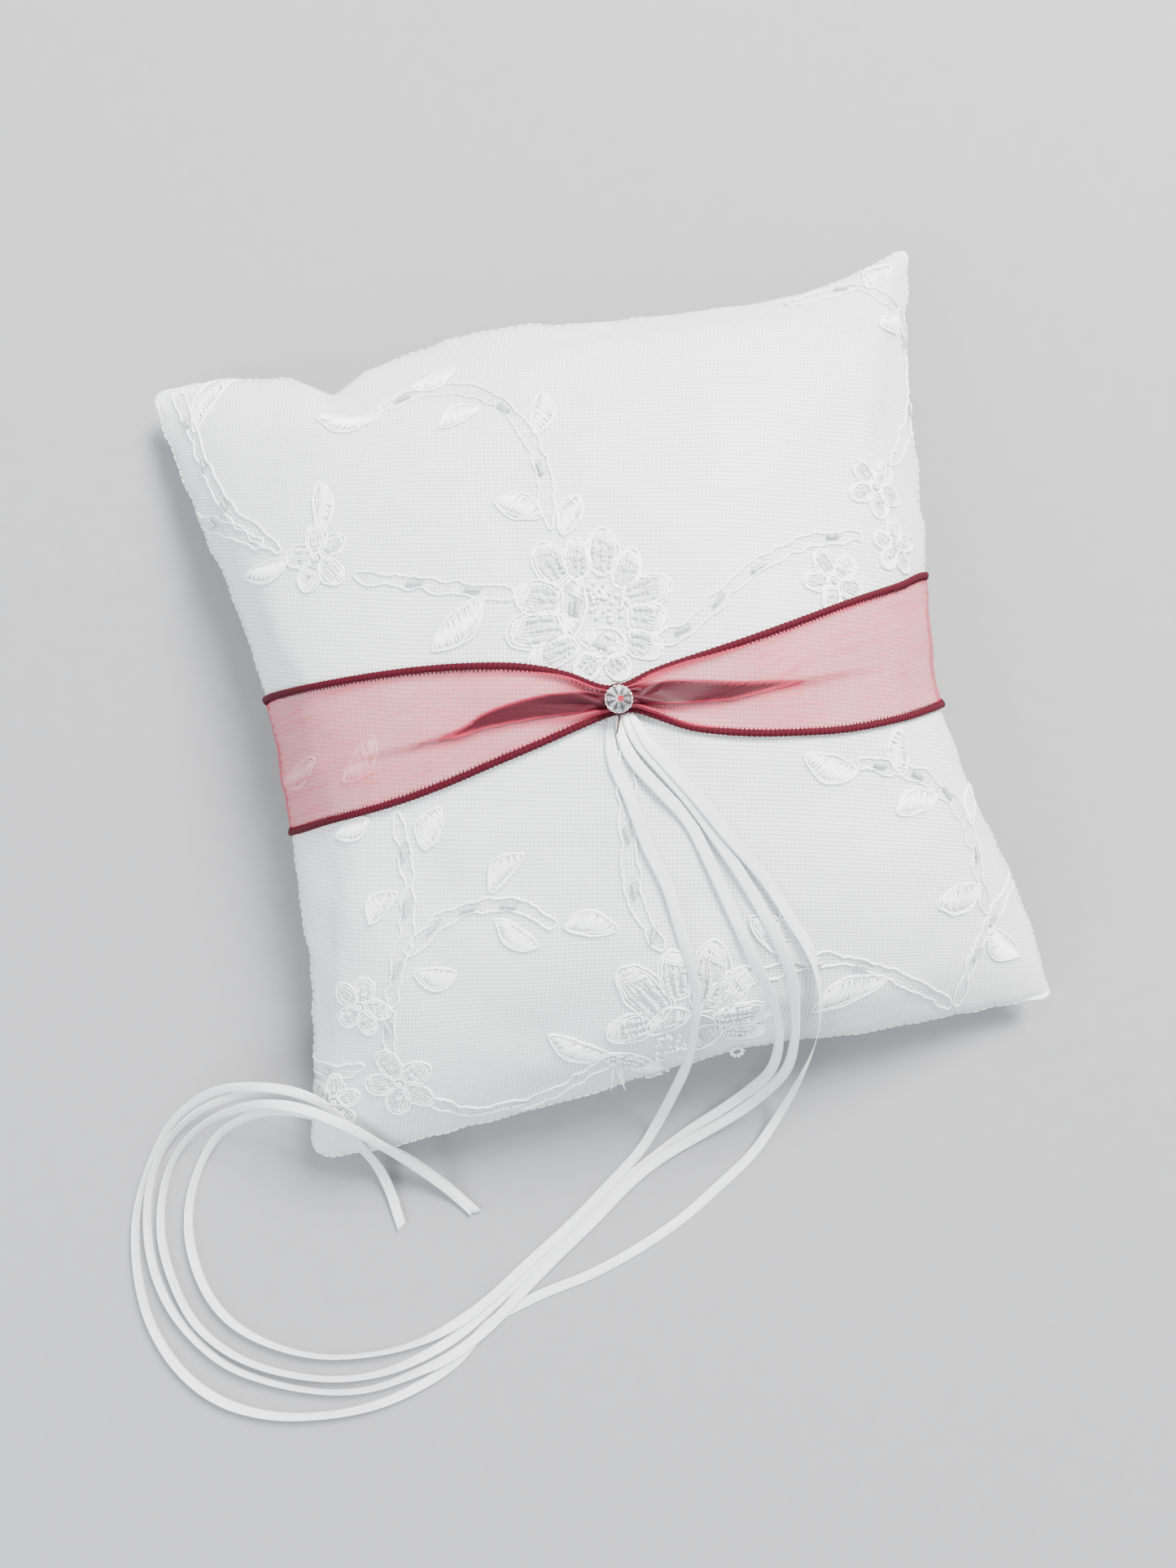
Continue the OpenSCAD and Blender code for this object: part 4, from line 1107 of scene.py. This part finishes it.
def vine(bag, route, lay):
    line = evenly(smoothLine(route, 8), 1.2)
    n = len(line)
    t = headings(line)
    side = np.stack([-t[:, 1], t[:, 0]], 1)
    half = lace["vine"] / 2 * np.clip(np.sin(np.linspace(.12, math.pi - .12, n)) * 4, .35, 1)
    rough, other = (np.convolve(rng.normal(size=n + 8), np.ones(3) / 2, "same")[4:-4] * lace["wobble"]
                    for _ in range(2))
    loop = np.vstack([line + side * (half + rough)[:, None], (line - side * (half + other)[:, None])[::-1]])
    cord(bag, smoothLine(np.vstack([loop, loop[:1]]), 3)[:-1], lay)
    # a few running stitches between the two cords
    for i in range(2, n - 3, 3):
        for sign in (-.45, .45):
            a, b = line[i] + side[i] * half[i] * sign, line[i + 1] + side[i + 1] * half[i] * sign * .6
            spots, up = lay(np.array([a, (a + b) / 2, b]) * mm, lace["yarn"] * .7)
            tube(bag, spots, up, lace["yarn"] * np.array([.4, .8, .4]), 4, .7)


def smallFlower(bag, row, lay):
    (x, y), reach, first = row
    for i in range(5):
        t = math.radians(first + 72 * i + rng.normal() * 4)
        ahead, heart = toward(t), np.array([x, y], float)
        far = reach * (.94 + .1 * rng.random())
        at, long = bladeShape(heart + ahead * 1.1, heart + ahead * far, reach * .64, 0, .42)
        doubleCord(bag, at, lay, .03, .74, (.12, .9), .7)
        fillWith(bag, at, long, lay, False, .22, .92)
    ring = [(x + 1.5 * math.cos(k / 12 * 2 * math.pi), y + 1.5 * math.sin(k / 12 * 2 * math.pi))
            for k in range(12)]
    cord(bag, ring, lay)


def petal(bag, row, lay, beads=None):
    base, tip = np.array(row[0], float), np.array(row[1], float)
    at, long = bladeShape(base - (tip - base) * .22, tip + (tip - base) * .06, row[2] * 1.25, 0, .45)
    doubleCord(bag, at, lay, .02, .78, (.08, .93), .8)
    fillWith(bag, at, long, lay, False, .42 if beads is not None else .15, .95)
    fillWith(bag, at, long, lay, True, .72, .93, .8)
    if beads is not None:
        for share in (-.5, 0, .5):
            for t in np.arange(.16 + abs(share) * .12, .62, 1.2 / long):
                beads.append(at(np.array(t), share * 1.05) + rng.normal(size=2) * .12)


def knotPattern():
    bpy.ops.mesh.primitive_ico_sphere_add(subdivisions=1, radius=1, location=(0, 0, 0))
    mode("EDIT")
    bpy.ops.mesh.select_all(action="SELECT")
    bpy.ops.mesh.poke()
    bpy.ops.mesh.vertices_smooth(factor=.6, repeat=1)
    bpy.ops.transform.resize(value=(1, 1, .8), center_override=(0, 0, 0))
    mode("OBJECT")


knot = pattern(knotPattern)
embroidery = stitchFinish()
beadSpots = []


def makeLace():
    bag = Bag()
    for route in vines:
        vine(bag, route, layOn)
    bag.piece("vineCording", whiteThread, "vine_cording")
    bag = Bag()
    for row in leaves:
        leaf(bag, row, layOn)
    bag.piece("leafEmbroidery", embroidery, "leaf_embroidery")
    bag = Bag()
    for row in flowers:
        smallFlower(bag, row, layOn)
    for row in upperPetals + lowerPetals:
        petal(bag, row, layOn, beadSpots)
    for row in heartLeaves:
        at, long = bladeShape(*row)
        cord(bag, outline(at), layOn, lace["heartCord"])
        fillWith(bag, at, long, layOn, True, .1, .34)
        fillWith(bag, at, long, layOn, True, .66, .92)
    for (x, y), reach, count in knotSpots:
        places = []
        for _ in range(count):
            t, r = rng.random() * 2 * math.pi, reach * math.sqrt(rng.random()) * .9
            spot, up = onTop((x + r * math.cos(t)) * mm, (y + r * math.sin(t)) * mm, .0004)
            size = (.55 + .35 * rng.random()) * mm
            places.append(frameAt(spot, (math.cos(t * 3), math.sin(t * 3), .1), up, (size, size, size)))
        scatter(bag, knot, places)
    # loose ends of yarn where the large flower turns over the near side
    for end, turn in (((-18.6, -98), .5), ((-17.4, -99), -.2), ((-16.5, -98.5), .1)):
        top, up = onTop(end[0] * mm, end[1] * mm, .0003)
        w = np.linspace(0, 1, 9)
        spots = np.stack([top[0] - .004 * turn * w, top[1] - .0085 * w, top[2] - .012 * w ** 2 + .001 * w], 1)
        tube(bag, spots, np.tile([1.0, .3, .2], (9, 1)), .00014, 5)
    bag.piece("flowerEmbroidery", embroidery, "flower_embroidery")
    bag = Bag()
    for route in backVines:
        vine(bag, route, underside)
    for row in backLeaves:
        leaf(bag, row, underside)
    for (x, y), near, far, angle in backPetals:
        ahead, heart = toward(math.radians(angle)), np.array([x, y])
        petal(bag, (heart + ahead * near, heart + ahead * far, 6), underside)
    bag.piece("backLace", embroidery, "back_lace")
    print("lace embroidered")


makeLace()

# beads
bead = dict(seed=.00058, heart=.0009, bugle=.0019, bugleThick=.00056, bore=.5, wall=.42, sunk=.35,
            rounded=.12)
# place and heading of each bugle bead
bugles = [
    (-100, 99, 108), (-96, 85, 105), (-91, 71, 122), (-97, 68, 150), (-42, 34.5, 165), (-28, 29.5, 160),
    (-37, 84, 10),
    (-12, 74, 125), (-6.2, 56, 95), (20, 9.6, 15), (30, 15, 40), (41, 21, 28), (62, 26, 0), (86, 98, 0),
    (-58.5, -30, 93), (-61, -44, 76), (-67, -59, 60), (-73.4, -74, 100), (-55, -50, 35), (-45, -47, 5),
    (-35, -48, -12), (-96, -86, 172), (-46, -104.5, 178), (-3, -36, 97), (-4, -50, 90), (-1.5, -62, 70),
    (38, -79, -4), (50, -82.5, -32), (63, -32.5, -15), (73, -37, -28), (81, -43.5, -50), (87, -61, -86),
    (101, 82, 95), (98, 62, 70), (90, -80, 45), (84, -88, 50), (-5.4, 20, 74), (-4, 20, 74),
    (-.6, 9.6, -24), (-1.2, -87.2, 14),
]


# seed beads sewn one by one near the rim
edgeBeads = [(105, 84), (104, 73), (103, 70), (102, 60), (102, 57.5), (101, 54), (100, 48), (100, 45),
             (-104, 71)]


def beadPattern():
    bpy.ops.mesh.primitive_torus_add(major_segments=10, minor_segments=6, major_radius=.62, minor_radius=.42,
                                     location=(0, 0, 0))


def buglePattern():
    # a glass tube: both ends are inset and pushed in, and its edges rounded
    bpy.ops.mesh.primitive_cylinder_add(vertices=14, radius=1, depth=2, location=(0, 0, 0))
    made = bpy.context.object
    for sign in (1, -1):
        for face in made.data.polygons:
            face.select = face.normal.z * sign > .9
        mode("EDIT")
        bpy.ops.mesh.select_mode(type="FACE")
        bpy.ops.mesh.inset(thickness=bead["wall"])
        pull(0, 0, -sign * bead["sunk"])
        mode("OBJECT")
    soften = made.modifiers.new("soften", "BEVEL")
    soften.width, soften.segments, soften.angle_limit = bead["rounded"], 2, math.radians(50)
    bpy.ops.object.modifier_apply(modifier="soften")
    made.data.transform(Matrix.Rotation(math.pi / 2, 4, "Y"))


def makeBeads():
    ring, tubeBead = pattern(beadPattern), pattern(buglePattern)
    bag = Bag()
    r, h = bead["seed"], bead["heart"]

    def sew(spot, ahead, up, size=r):
        scatter(bag, ring, [frameAt(spot, ahead, up, (size, size, size))])

    for x, y in beadSpots:
        spot, up = onTop(x * mm, y * mm, r * 1.1)
        t = rng.random() * math.pi
        sew(spot, (*toward(t), .2), Vector(up) + Vector(rng.normal(size=3) * .35))
    for (x, y), reach, first in flowers:
        spot, up = onTop(x * mm, y * mm, h * .95)
        sew(spot, (1, .2, 0), up, h)
        for i in (0, 2, 3):
            t = math.radians(first + 72 * i)
            aside = reach * .45
            spot, up = onTop((x + aside * math.cos(t)) * mm, (y + aside * math.sin(t)) * mm, r * 1.1)
            sew(spot, (*toward(t), .1), up)
    # rows that turn over the near side, and one loop that has worked loose
    for k in range(15):
        spot, up = onTop((-10 + k * .95) * mm, (-104.5 - .5 * math.sin(k * 1.7)) * mm, r * 1.2)
        sew(spot, (0, .3, 1), up)
    for x, y in edgeBeads:
        spot, up = onTop(x * mm, y * mm, r * 1.2)
        sew(spot, (0, 1, .2), up)
    hang, _ = onTop(.0155, -.1005, r)
    for k in range(9):
        t = k / 9 * 2 * math.pi
        spot = hang + np.array([.0016 * math.cos(t), .0013 * math.sin(t) - .0015, .0012 * math.sin(t) - .002])
        sew(spot, (*toward(t), .4), (.2, -.7, .7))
    bag.piece("seedBeads", glassFinish("seedGlass", (.93, .94, .95, 1), .06), "seed_beads")

    bag = Bag()
    silver = metalFinish("silverLining", (.96, .96, .96, 1), .34)
    glass = glassFinish("bugleGlass", (.90, .91, .92, 1), .05, .8)
    for x, y, turn in bugles:
        t = math.radians(turn)
        spot, up = onTop(x * mm, y * mm, bead["bugleThick"] + .00015)
        ahead = Vector((*toward(t), 0))
        ahead -= Vector(up) * ahead.dot(Vector(up))
        w = bead["bugleThick"]
        scatter(bag, tubeBead, [frameAt(spot, ahead, up, (bead["bugle"], w, w))], 0)
        k = w * bead["bore"]
        scatter(bag, stitch, [frameAt(spot, ahead, up, (bead["bugle"] * .8, k, k))], 1)
    bag.piece("bugleBeads", [glass, silver], "bugle_beads")
    print("beads sewn on:", len(beadSpots), "seeds and", len(bugles), "bugles")


makeBeads()


# sash: edges by loop angle in degrees, 0 at the middle of the top and 180 at the joint underneath
sash = dict(lift=.0010, edge=.0010, across=64, gather=.0022, bunch=.00085, joint=179.93, middle=.6,
            foldShare=.13, foldRise=.0006, foldHem=.0003, swell=.00035, ruffle=.00035, sunk=.0001,
            creaseFrom=18, creaseTo=52, creaseDark=.55, creaseWide=.0005)
# how far each change spreads from the stone, in degrees round the loop
reaches = dict(bunch=5, gather=9, swell=30, dark=4.2)
upperEdge = [(-180, 19.5), (-90, 18.5), (-60, 17), (-33, 14.5), (-16, 10.5), (-7, 5.6), (-2, .7), (.6, -.5),
             (3, .1), (8, 2), (20, 4.5), (41, 9.5), (62, 13), (90, 16.5), (180, 19.5)]
lowerEdge = [(-180, -19.5), (-90, -20.5), (-60, -19.8), (-37, -18.2), (-18, -13.4), (-7, -10), (-2, -8.4),
             (.6, -7.9), (3, -8.4), (6, -11), (12, -16), (26, -21), (44, -23), (90, -21), (180, -19.5)]
# overlap of the long fold in millimetres, and its middle line, by loop angle
foldWidth = [(-180, -9), (-46, -9), (-34, -6), (-27, -.5), (-22, 2.2), (-16, 4.2), (-9, 5.2), (-4, 5),
             (.6, 4), (5, 5), (9, 5.6), (16, 4.4), (22, 2), (28, -.5), (36, -6), (50, -9), (180, -9)]
foldLine = [(-180, 0), (-50, -5), (-26, -4.4), (-20, -2.6), (-11, -2.2), (-4, -3.4), (.6, -4.3), (5, -4.6),
            (9, -5), (14, -6.2), (22, -7.6), (50, -8), (180, 0)]


def edgeCurve(rows, a):
    curve = smoothLine(rows, 8)
    return np.interp(np.degrees(a), curve[:, 0], curve[:, 1]) * mm


def sashMarks():
    far = np.linspace(-sash["joint"], sash["joint"], 2600)
    fine = 1 / (.35 + 1.5 * np.clip(np.abs(far - sash["middle"]) / 30, 0, 1))
    total = np.concatenate([[0], np.cumsum((fine[1:] + fine[:-1]) / 2)])
    return np.radians(np.interp(np.linspace(0, total[-1], 330), total, far))


def near(a, width):
    return np.exp(-((np.degrees(a) - sash["middle"]) / width) ** 2)


def edgeLift(a):
    return sash["lift"] - sash["sunk"] + sash["bunch"] * near(a, reaches["bunch"])


def makeSash():
    marks = sashMarks()
    k = sash["across"]
    w = np.linspace(0, 1, k)
    ring, shade, uv = [], [], []
    far, last = 0.0, None
    for a in marks:
        hi = edgeCurve(upperEdge, a) - sash["edge"]
        lo = edgeCurve(lowerEdge, a) + sash["edge"]
        span = hi - lo
        overlap, middle = (float(edgeCurve(rows, a)) for rows in (foldWidth, foldLine))
        wide = sash["foldShare"]
        depth = max(0.0, overlap / 2 + wide * span)
        centre = np.clip((middle - lo) / span, .25, .75)
        x = (w - centre) / wide
        window = np.exp((1 - x * x) / 2)
        ys = lo + span * w - depth * x * window
        fold = np.clip(depth / .004, 0, 1)
        rise = sash["lift"] + sash["bunch"] * near(a, reaches["bunch"])
        rise = rise + sash["foldRise"] * fold * (.5 + .5 * np.tanh(x * 2.2)) * np.exp(-(x / 3) ** 2)
        ripple = .5 - .5 * np.cos(2 * math.pi * 5 * w + .8 * math.sin(np.degrees(a) * .21))
        rise = rise + sash["gather"] * near(a, reaches["gather"]) * ripple
        # long shallow creases run out from the gather and fade
        swell = np.sin(2 * math.pi * (3.1 * w + .15 * math.sin(np.degrees(a) * .05)))
        swell = swell + .6 * np.sin(2 * math.pi * 5.3 * w + 1)
        rise = rise + sash["swell"] * near(a, reaches["swell"]) * swell
        uneven = np.array([noise.noise(Vector((math.degrees(a) * .06, v * 3, 5))) for v in w])
        rise = rise + uneven * sash["ruffle"]
        reach = np.abs(ys - (lo + span * centre))
        inside = np.clip((overlap / 2 + sash["foldHem"] - reach) / .0006, 0, 1)
        inside = inside * (overlap > 0) * (np.abs(x) < 3.2)
        # the fold runs out into a thin crease on either side
        turned = math.degrees(abs(a))
        trail = (np.clip((turned - sash["creaseFrom"]) / 6, 0, 1)
                 * np.clip((sash["creaseTo"] - turned) / 22, 0, 1))
        crease = sash["creaseDark"] * trail * np.exp(-((reach - .0004) / sash["creaseWide"]) ** 2)
        dark = np.maximum(np.maximum(inside, crease), near(a, reaches["dark"]) * .9)
        row = []
        for y, h in zip(ys, rise):
            place, up = wrapAt(a, y)
            row.append(place + up * h)
        row = np.array(row)
        if last is not None:
            far += float(np.linalg.norm(row[k // 2] - last))
        last = row[k // 2]
        ring.append(row)
        shade.append(dark)
        uv.append(np.stack([np.full(k, far), along(row)], 1))
    ring = np.array(ring)
    # the sheer cloth is drawn tight, so it bridges small hollows
    for _ in range(3):
        ring[1:-1] = ring[1:-1] * .6 + (ring[:-2] + ring[2:]) * .2
    bag = Bag()
    grid = np.arange(ring.shape[0] * k).reshape(ring.shape[0], k)
    bag.add(ring.reshape(-1, 3), gridFaces(grid).tolist(), np.vstack(uv),
            np.concatenate(shade).tolist())
    cloth = bag.piece("organzaSash", organzaFinish(), "sash", "folded")
    print("sash round the cushion, loop", round(far, 4), "m")
    return cloth, far


edgeCord = dict(wide=.00088, thick=.0006, step=.00036, pitch=.0013, squeeze=.18, loop=.0009, uneven=.0003)


def braid(far, turn):
    # two slanted rows of stitches that meet along the top, like a sewn overlock edge
    half = np.cos(turn)
    slant = far / edgeCord["pitch"] + np.abs(half) * .55
    return (.5 + .5 * np.sin(2 * math.pi * slant)) * (.55 + .45 * np.abs(half)) + .1 * (np.abs(half) < .3)


def makeEdge(name, rows, sign, stands):
    marks = sashMarks()
    line, up = [], []
    for a in marks:
        y = float(edgeCurve(rows, a)) - sign * edgeCord["wide"]
        place, n = wrapAt(a, y)
        line.append(place + n * (edgeLift(a) + edgeCord["thick"] * .35))
        up.append(n)
    both = np.hstack([line, up])
    for _ in range(6):
        both[1:-1] = both[1:-1] * .5 + (both[:-2] + both[2:]) * .25
    both = evenly(both, edgeCord["step"])
    fromStone = np.linalg.norm(both[:, :3] - np.array([.001, -.0044, .069]), axis=1)
    squeeze = 1 - edgeCord["squeeze"] * np.exp(-(fromStone / .006) ** 2)
    bag = Bag()
    tube(bag, both[:, :3], unit(both[:, 3:]), edgeCord["wide"] * squeeze, 14,
         edgeCord["thick"] / edgeCord["wide"], False, braid)
    # loops of the overlock reach a little over the organza
    t = headings(both[:, :3])
    side = unit(np.cross(t, both[:, 3:]))
    inward = side * np.sign((side[:, 1] * -sign).mean() or 1)
    for i in range(3, len(both) - 3, 3):
        reach = (edgeCord["loop"] + edgeCord["uneven"] * rng.random()) * squeeze[i]
        spot, above = both[i, :3], both[i, 3:]
        start = spot + inward[i] * edgeCord["wide"] * .7 + above * .0003
        stop = spot + inward[i] * (edgeCord["wide"] * .4 + reach) + t[i] * .0003 - above * .0001
        w = np.linspace(0, 1, 4)[:, None]
        tube(bag, start + (stop - start) * w, both[i:i + 1, 3:].repeat(4, 0),
             np.array([.00022, .0002, .00016, .00008]), 4)
    # the stitch ridge heights go out as the raised attribute, which the edge finish turns into painted shade
    # in the valleys
    return bag.piece(name, wineEdge, stands, "raised")


gather = dict(near=-.0082, far=-.0002, turns=4, spread=.0008, thread=.00024, slack=.0006)


def makeGather():
    # turns of thread round the bunched cloth, under the stone
    low, high = boxOf("gathering_thread")
    low[1], high[1] = gather["near"], gather["far"]
    bag = Bag()
    for shift in np.linspace(-gather["spread"], gather["spread"], gather["turns"]):
        t = np.linspace(0, 2 * math.pi, 41)[:-1]
        c, s = np.cos(t), np.sin(t)
        y, z = ((low[k] + high[k]) / 2
                + (high[k] - low[k] - gather["slack"]) / 2 * np.sign(v) * np.abs(v) ** .6
                for k, v in ((1, c), (2, s)))
        line = np.stack([np.full(40, stoneSpot[0] + shift) + .0002 * np.sin(t * 2), y, z], 1)
        away = unit(np.stack([np.zeros(40), c, s * 1.4], 1))
        tube(bag, line, away, gather["thread"], 8, 1, True)
    # one cut end shows below the stone
    w = np.linspace(0, 1, 8)
    spot, up = onTop(.0005, -.0108, .0016)
    end = np.stack([spot[0] - .0016 * w, spot[1] + .0025 - .0042 * w, spot[2] + .0012 * np.sin(w * 3)], 1)
    tube(bag, end, np.tile(up, (8, 1)), .0002, 6)
    return bag.piece("gatheringThread", wineThread, "gathering_thread")


joint = dict(stitches=13, inset=.0004, lean=.28, size=(.0016, .00022, .00016))


def makeJoint():
    low, high = boxOf("sash_joining_stitches")
    bag = Bag()
    middle = (low + high) / 2
    rows = np.linspace(low[1] + joint["inset"], high[1] - joint["inset"], joint["stitches"])
    for k, y in enumerate(rows):
        lean = joint["lean"] if k % 2 else -joint["lean"]
        scatter(bag, stitch, [frameAt((middle[0], y, middle[2]), (1, lean, 0), (0, 0, 1), joint["size"])])
    return bag.piece("joiningStitches", wineThread, "sash_joining_stitches")


wineEdge = cordFinish()
wineThread = threadFinish("wineThread", (.02, .0012, .003, 1), (.10, .004, .010, 1), 1400, .5, 0)
sashCloth, loopLength = makeSash()
onSash = [makeEdge("sashUpperCord", upperEdge, 1, "sash_upper_cord"),
          makeEdge("sashLowerCord", lowerEdge, -1, "sash_lower_cord"), makeGather(), makeJoint()]
print("sash edges, gathering and joint sewn")

# stone and cup
stone = dict(radius=.00312, sides=16, girdle=.0003)
cup = dict(radius=.0034, taper=.86, lip=.00028, hollow=.0006, seat=.0012, sunk=.0005, rounded=.0001,
           teeth=20, toothed=.0007, pinch=.055, bite=.00012)
cupLow, cupHigh = boxOf("stone_cup")
gemLow, gemHigh = boxOf("crystal_stone")
stoneX, stoneY = (cupLow[:2] + cupHigh[:2]) / 2


def pickFaces(mesh, test):
    bpy.ops.mesh.select_all(action="DESELECT")
    mode("OBJECT")
    for face in mesh.polygons:
        face.select = bool(test(face))
    mode("EDIT")


def setPlace(made):
    mode("OBJECT")
    made.data.transform(made.matrix_world)
    made.matrix_world = Matrix.Identity(4)


def finishOps(made, name, materials, stands):
    made.name = made.data.name = name
    for m in materials:
        made.data.materials.append(m)
    made.data.uv_layers.active.name = "cloth"
    return settle(made, stands)


def makeCup():
    # a pressed cup: a short drum, narrower below, hollowed above, with its rim pinched over the stone
    outer = cup["radius"]
    clearSelection()
    bpy.ops.mesh.primitive_cylinder_add(vertices=96, radius=outer, depth=cupHigh[2] - cupLow[2],
                                        location=(stoneX, stoneY, (cupLow[2] + cupHigh[2]) / 2))
    made = bpy.context.object
    mode("EDIT")
    bpy.ops.mesh.select_mode(type="FACE")
    pickFaces(made.data, lambda f: f.normal.z < -.9)
    bpy.ops.transform.resize(value=(cup["taper"], cup["taper"], 1),
                             center_override=(stoneX, stoneY, cupLow[2]))
    pickFaces(made.data, lambda f: f.normal.z > .9)
    bpy.ops.mesh.inset(thickness=cup["lip"])
    pull(0, 0, -cup["hollow"])
    bpy.ops.mesh.inset(thickness=cup["seat"])
    bpy.ops.transform.translate(value=(0, 0, -cup["sunk"]))
    setPlace(made)
    selectOnly(made)
    rim = made.modifiers.new("rim", "BEVEL")
    rim.width, rim.segments, rim.angle_limit = cup["rounded"], 3, math.radians(40)
    bpy.ops.object.modifier_apply(modifier="rim")
    # small teeth are pressed inwards round the rim
    for v in made.data.vertices:
        dx, dy = v.co.x - stoneX, v.co.y - stoneY
        share = max(0, 1 - (cupHigh[2] - v.co.z) / cup["toothed"]) * (math.hypot(dx, dy) > outer * .8)
        dent = (.5 + .5 * math.cos(cup["teeth"] * math.atan2(dy, dx))) * share
        v.co.x -= dx * cup["pinch"] * dent
        v.co.y -= dy * cup["pinch"] * dent
        v.co.z -= cup["bite"] * dent
    finishOps(made, "stoneCup", [silverCup], "stone_cup")
    bpy.ops.object.shade_smooth_by_angle(angle=math.radians(50))


def makeGem():
    # crown and mirrored back; the table is turned half a facet from the girdle
    n = stone["sides"]
    base, top = gemLow[2], gemHigh[2]
    girdle = max(base + .0006, cupHigh[2] - .00035)
    clearSelection()
    bpy.ops.mesh.primitive_cylinder_add(vertices=n, radius=stone["radius"], depth=stone["girdle"],
                                        location=(stoneX, stoneY, girdle))
    made = bpy.context.object
    mode("EDIT")
    bpy.ops.mesh.select_mode(type="FACE")
    half = math.pi / n
    for sign, steps in ((1, ((.84, .5), (.58, 1.0))), (-1, ((.5, .7), (.2, 1.0)))):
        reach = (top - girdle if sign > 0 else girdle - base) - stone["girdle"] / 2
        pickFaces(made.data, lambda f: f.normal.z * sign > .9)
        done, size = 0.0, 1.0
        for ratio, height in steps:
            z = girdle + sign * (stone["girdle"] / 2 + reach * height)
            pull(0, 0, sign * reach * (height - done))
            bpy.ops.transform.resize(value=(ratio / size, ratio / size, 1),
                                     center_override=(stoneX, stoneY, z))
            bpy.ops.transform.rotate(value=half, orient_axis="Z", center_override=(stoneX, stoneY, z))
            done, size = height, ratio
    bpy.ops.mesh.select_all(action="SELECT")
    bpy.ops.mesh.quads_convert_to_tris(quad_method="SHORTEST_DIAGONAL", ngon_method="BEAUTY")
    setPlace(made)
    finishOps(made, "crystalStone", [crystalFinish()], "crystal_stone")
    made.data.polygons.foreach_set("use_smooth", [False] * len(made.data.polygons))


def crystalFinish():
    # a clear crystal over a mirrored back, drawn as glossy metal under a clear coat: the flutes of the back
    # are painted as bright and dark reflections, one side is painted brighter as if lit, and the red of the
    # wine thread is a painted reflection right of the middle
    f = Finish("foiledCrystal", Coat_Weight=1.0, Coat_Roughness=.02)
    middle = (-float(stoneX), -float(stoneY), 0)
    centred = f.node("Mapping", None, {"Vector": objectPlace(f), "Location": middle})
    x = f.node("SeparateXYZ", None, {0: centred})
    y = x.other("Y")
    reach = (x * x + y * y).do("SQRT")
    turn = y.do("ARCTAN2", x)
    flute = (turn * stone["sides"] / 2).do("SINE") * .5 + .5
    # painted highlight: one side of the stone is painted brighter, as if lit from that side
    paintedLitSide = f.step((turn - .9).do("SINE"), -.6, .7)
    # painted reflection: a red spot of the wine thread, right of the middle
    heart = 1 - f.step(((x - .0004) * (x - .0004) + y * y).do("SQRT"), .0006, .0010)
    inner = f.step(reach, .0004, .0012)
    # the bright and dark flute sectors are painted reflections in the base colour
    silver = f.mix(1 - (1 - flute * inner) * (.45 + paintedLitSide * .55), (.95, .95, .95, 1), (.07, .065, .07, 1))
    f.vary(Base_Color=f.mix(heart, silver, (.30, .006, .02, 1)), Roughness=.08 + flute * .14,
           Metallic=.88 - heart * .7)
    return f.material


silverCup = metalFinish("pressedSilver", (.90, .90, .91, 1), .16)
makeCup()
makeGem()
print("stone set in its cup")
